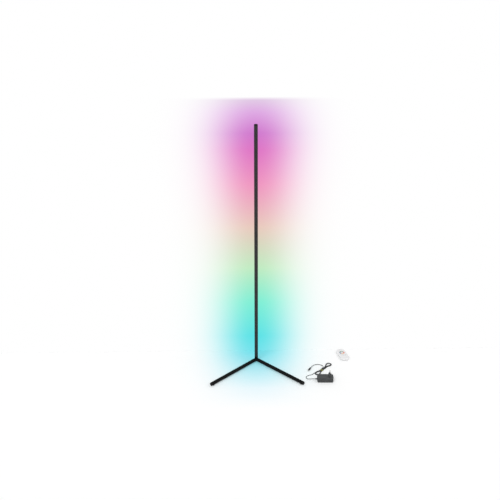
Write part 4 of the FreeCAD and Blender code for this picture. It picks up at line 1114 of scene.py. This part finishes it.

# ------------------------------------------------------------------ stage: floor, painted glow and light

BACKDROP_Y = 0.12
BACKDROP_HALF = 6.0
BACKDROP_TOP = 5.0
BACKDROP_FOOT = -0.05  # it runs on below the floor
FLOOR_HALF = 14.0
FLOOR_ALBEDO = 0.8
FLOOR_CHANGE = 0.01
FLOOR_LIFT = 0.255  # light added to what the camera sees of the floor
WORLD_LEVEL = 0.55
SCREEN_GAMMA = 2.2
# a painted pool of the lamp's coloured light, on the backdrop and on the floor about the mast
GLOW_WIDTH = 0.22  # from its middle to where it has faded to about a third
GLOW_LOW = -0.58
GLOW_HIGH = 1.52
# height on the backdrop, colour as it shows on a screen, with white beyond both ends
GLOW_STOPS = [
    (GLOW_LOW, WHITE),
    (-0.4, (0.914, 0.976, 0.996)),
    (-0.18, (0.665, 0.92, 0.96)),
    (-0.03, (0.475, 0.885, 0.93)),
    (0.1, (0.37, 0.885, 0.9)),
    (0.33, (0.5, 0.935, 0.83)),
    (0.55, (0.75, 0.92, 0.755)),
    (0.8, (0.91, 0.79, 0.74)),
    (1.05, (0.938, 0.59, 0.753)),
    (1.24, (0.87, 0.465, 0.77)),
    (1.33, (0.815, 0.48, 0.805)),
    (1.44, (0.87, 0.66, 0.89)),
    (1.51, (0.885, 0.8, 0.9)),
    (1.514, WHITE),
]


def painted_glow_colour(tree, height, side):
    """White with a painted pool of the lamp's soft coloured light about the middle, as light for a
    shader.
    """
    share = tree.remap(height, GLOW_LOW, GLOW_HIGH)
    stops = [((at - GLOW_LOW) / (GLOW_HIGH - GLOW_LOW), colour) for at, colour in GLOW_STOPS]
    off = tree.math("DIVIDE", side, GLOW_WIDTH)
    fade = tree.math("EXPONENT", tree.math("MULTIPLY", tree.math("MULTIPLY", off, off), -1.0))
    shown = tree.mix(fade, WHITE, tree.ramp(share, stops))
    return tree.node("ShaderNodeGamma", {0: shown, 1: SCREEN_GAMMA}).outputs[0]


def flat_sheet(name, corners, material):
    mesh = bpy.data.meshes.new(name)
    mesh.from_pydata(corners, [], [tuple(range(len(corners)))])
    mesh.materials.append(material)
    sheet = bpy.data.objects.new(name, mesh)
    bpy.context.scene.collection.objects.link(sheet)


def make_floor():
    """Pale paper with the backdrop's painted glow carried on from its foot, fading away from there.
    """
    tree = Shader("studio_floor")
    x, y, _ = tree.axes()
    # the floor's colour and its lift both carry the painted pool of the lamp's light
    glow = painted_glow_colour(tree, tree.math("MULTIPLY", tree.gap(y, BACKDROP_Y), -1.0), x)
    grain = tree.noise(180.0, detail=3.0, rough=0.6)
    tone = tree.vary(grain, FLOOR_ALBEDO - FLOOR_CHANGE, FLOOR_ALBEDO + FLOOR_CHANGE, WIDE_SPREAD)
    matte = tree.node("ShaderNodeBsdfDiffuse", {0: tree.dimmed(glow, tone)}).outputs[0]
    strength = tree.math("MULTIPLY", tree.seen_rays(), FLOOR_LIFT)
    lift = tree.node("ShaderNodeEmission", {0: glow, 1: strength}).outputs[0]
    tree.output(tree.node("ShaderNodeAddShader", {0: matte, 1: lift}))
    half = FLOOR_HALF
    corners = [(-half, -half, 0), (half, -half, 0), (half, half, 0), (-half, half, 0)]
    flat_sheet("studio_floor", corners, tree.material)


def make_backdrop():
    """Painted light of the lamp on the paper behind it; it is clear from behind and to all but seen
    rays.
    """
    tree = Shader("painted_lamp_glow")
    x, _, height = tree.axes()
    light = tree.node("ShaderNodeEmission", {0: painted_glow_colour(tree, height, x), 1: 1.0}).outputs[0]
    clear = tree.node("ShaderNodeBsdfTransparent").outputs[0]
    front = tree.math("SUBTRACT", 1.0, tree.node("ShaderNodeNewGeometry").outputs["Backfacing"])
    shown = tree.math("MULTIPLY", front, tree.seen_rays())
    tree.output(tree.node("ShaderNodeMixShader", {0: shown, 1: clear, 2: light}))
    half, y, low, high = BACKDROP_HALF, BACKDROP_Y, BACKDROP_FOOT, BACKDROP_TOP
    corners = [(-half, y, low), (half, y, low), (half, y, high), (-half, y, high)]
    flat_sheet("painted_lamp_glow", corners, tree.material)


def make_world():
    """Even light, which shows as plain white to the camera, a mirror or glass."""
    world = bpy.data.worlds.new("studio")
    bpy.context.scene.world = world
    tree = Tree(world)
    level = tree.remap(tree.seen_rays(), 0.0, 1.0, WORLD_LEVEL, 1.0)
    background = tree.node("ShaderNodeBackground", {0: paint(WHITE), 1: level})
    tree.node("ShaderNodeOutputWorld", {0: background.outputs[0]})


def make_sun(name, strength, spread, direction):
    """A sun lamp; its spread is in degrees."""
    data = bpy.data.lights.new(name, "SUN")
    data.energy = strength
    data.angle = math.radians(spread)
    lamp = bpy.data.objects.new(name, data)
    lamp.rotation_euler = Vector(direction).to_track_quat("-Z", "Y").to_euler()
    bpy.context.scene.collection.objects.link(lamp)


make_floor()
make_backdrop()
make_world()
make_sun("key", strength=1.25, spread=30, direction=(0.4, 0.8, -0.85))
make_sun("fill", strength=0.45, spread=50, direction=(-0.6, 0.3, -0.9))

bpy.context.scene.view_settings.view_transform = "Standard"
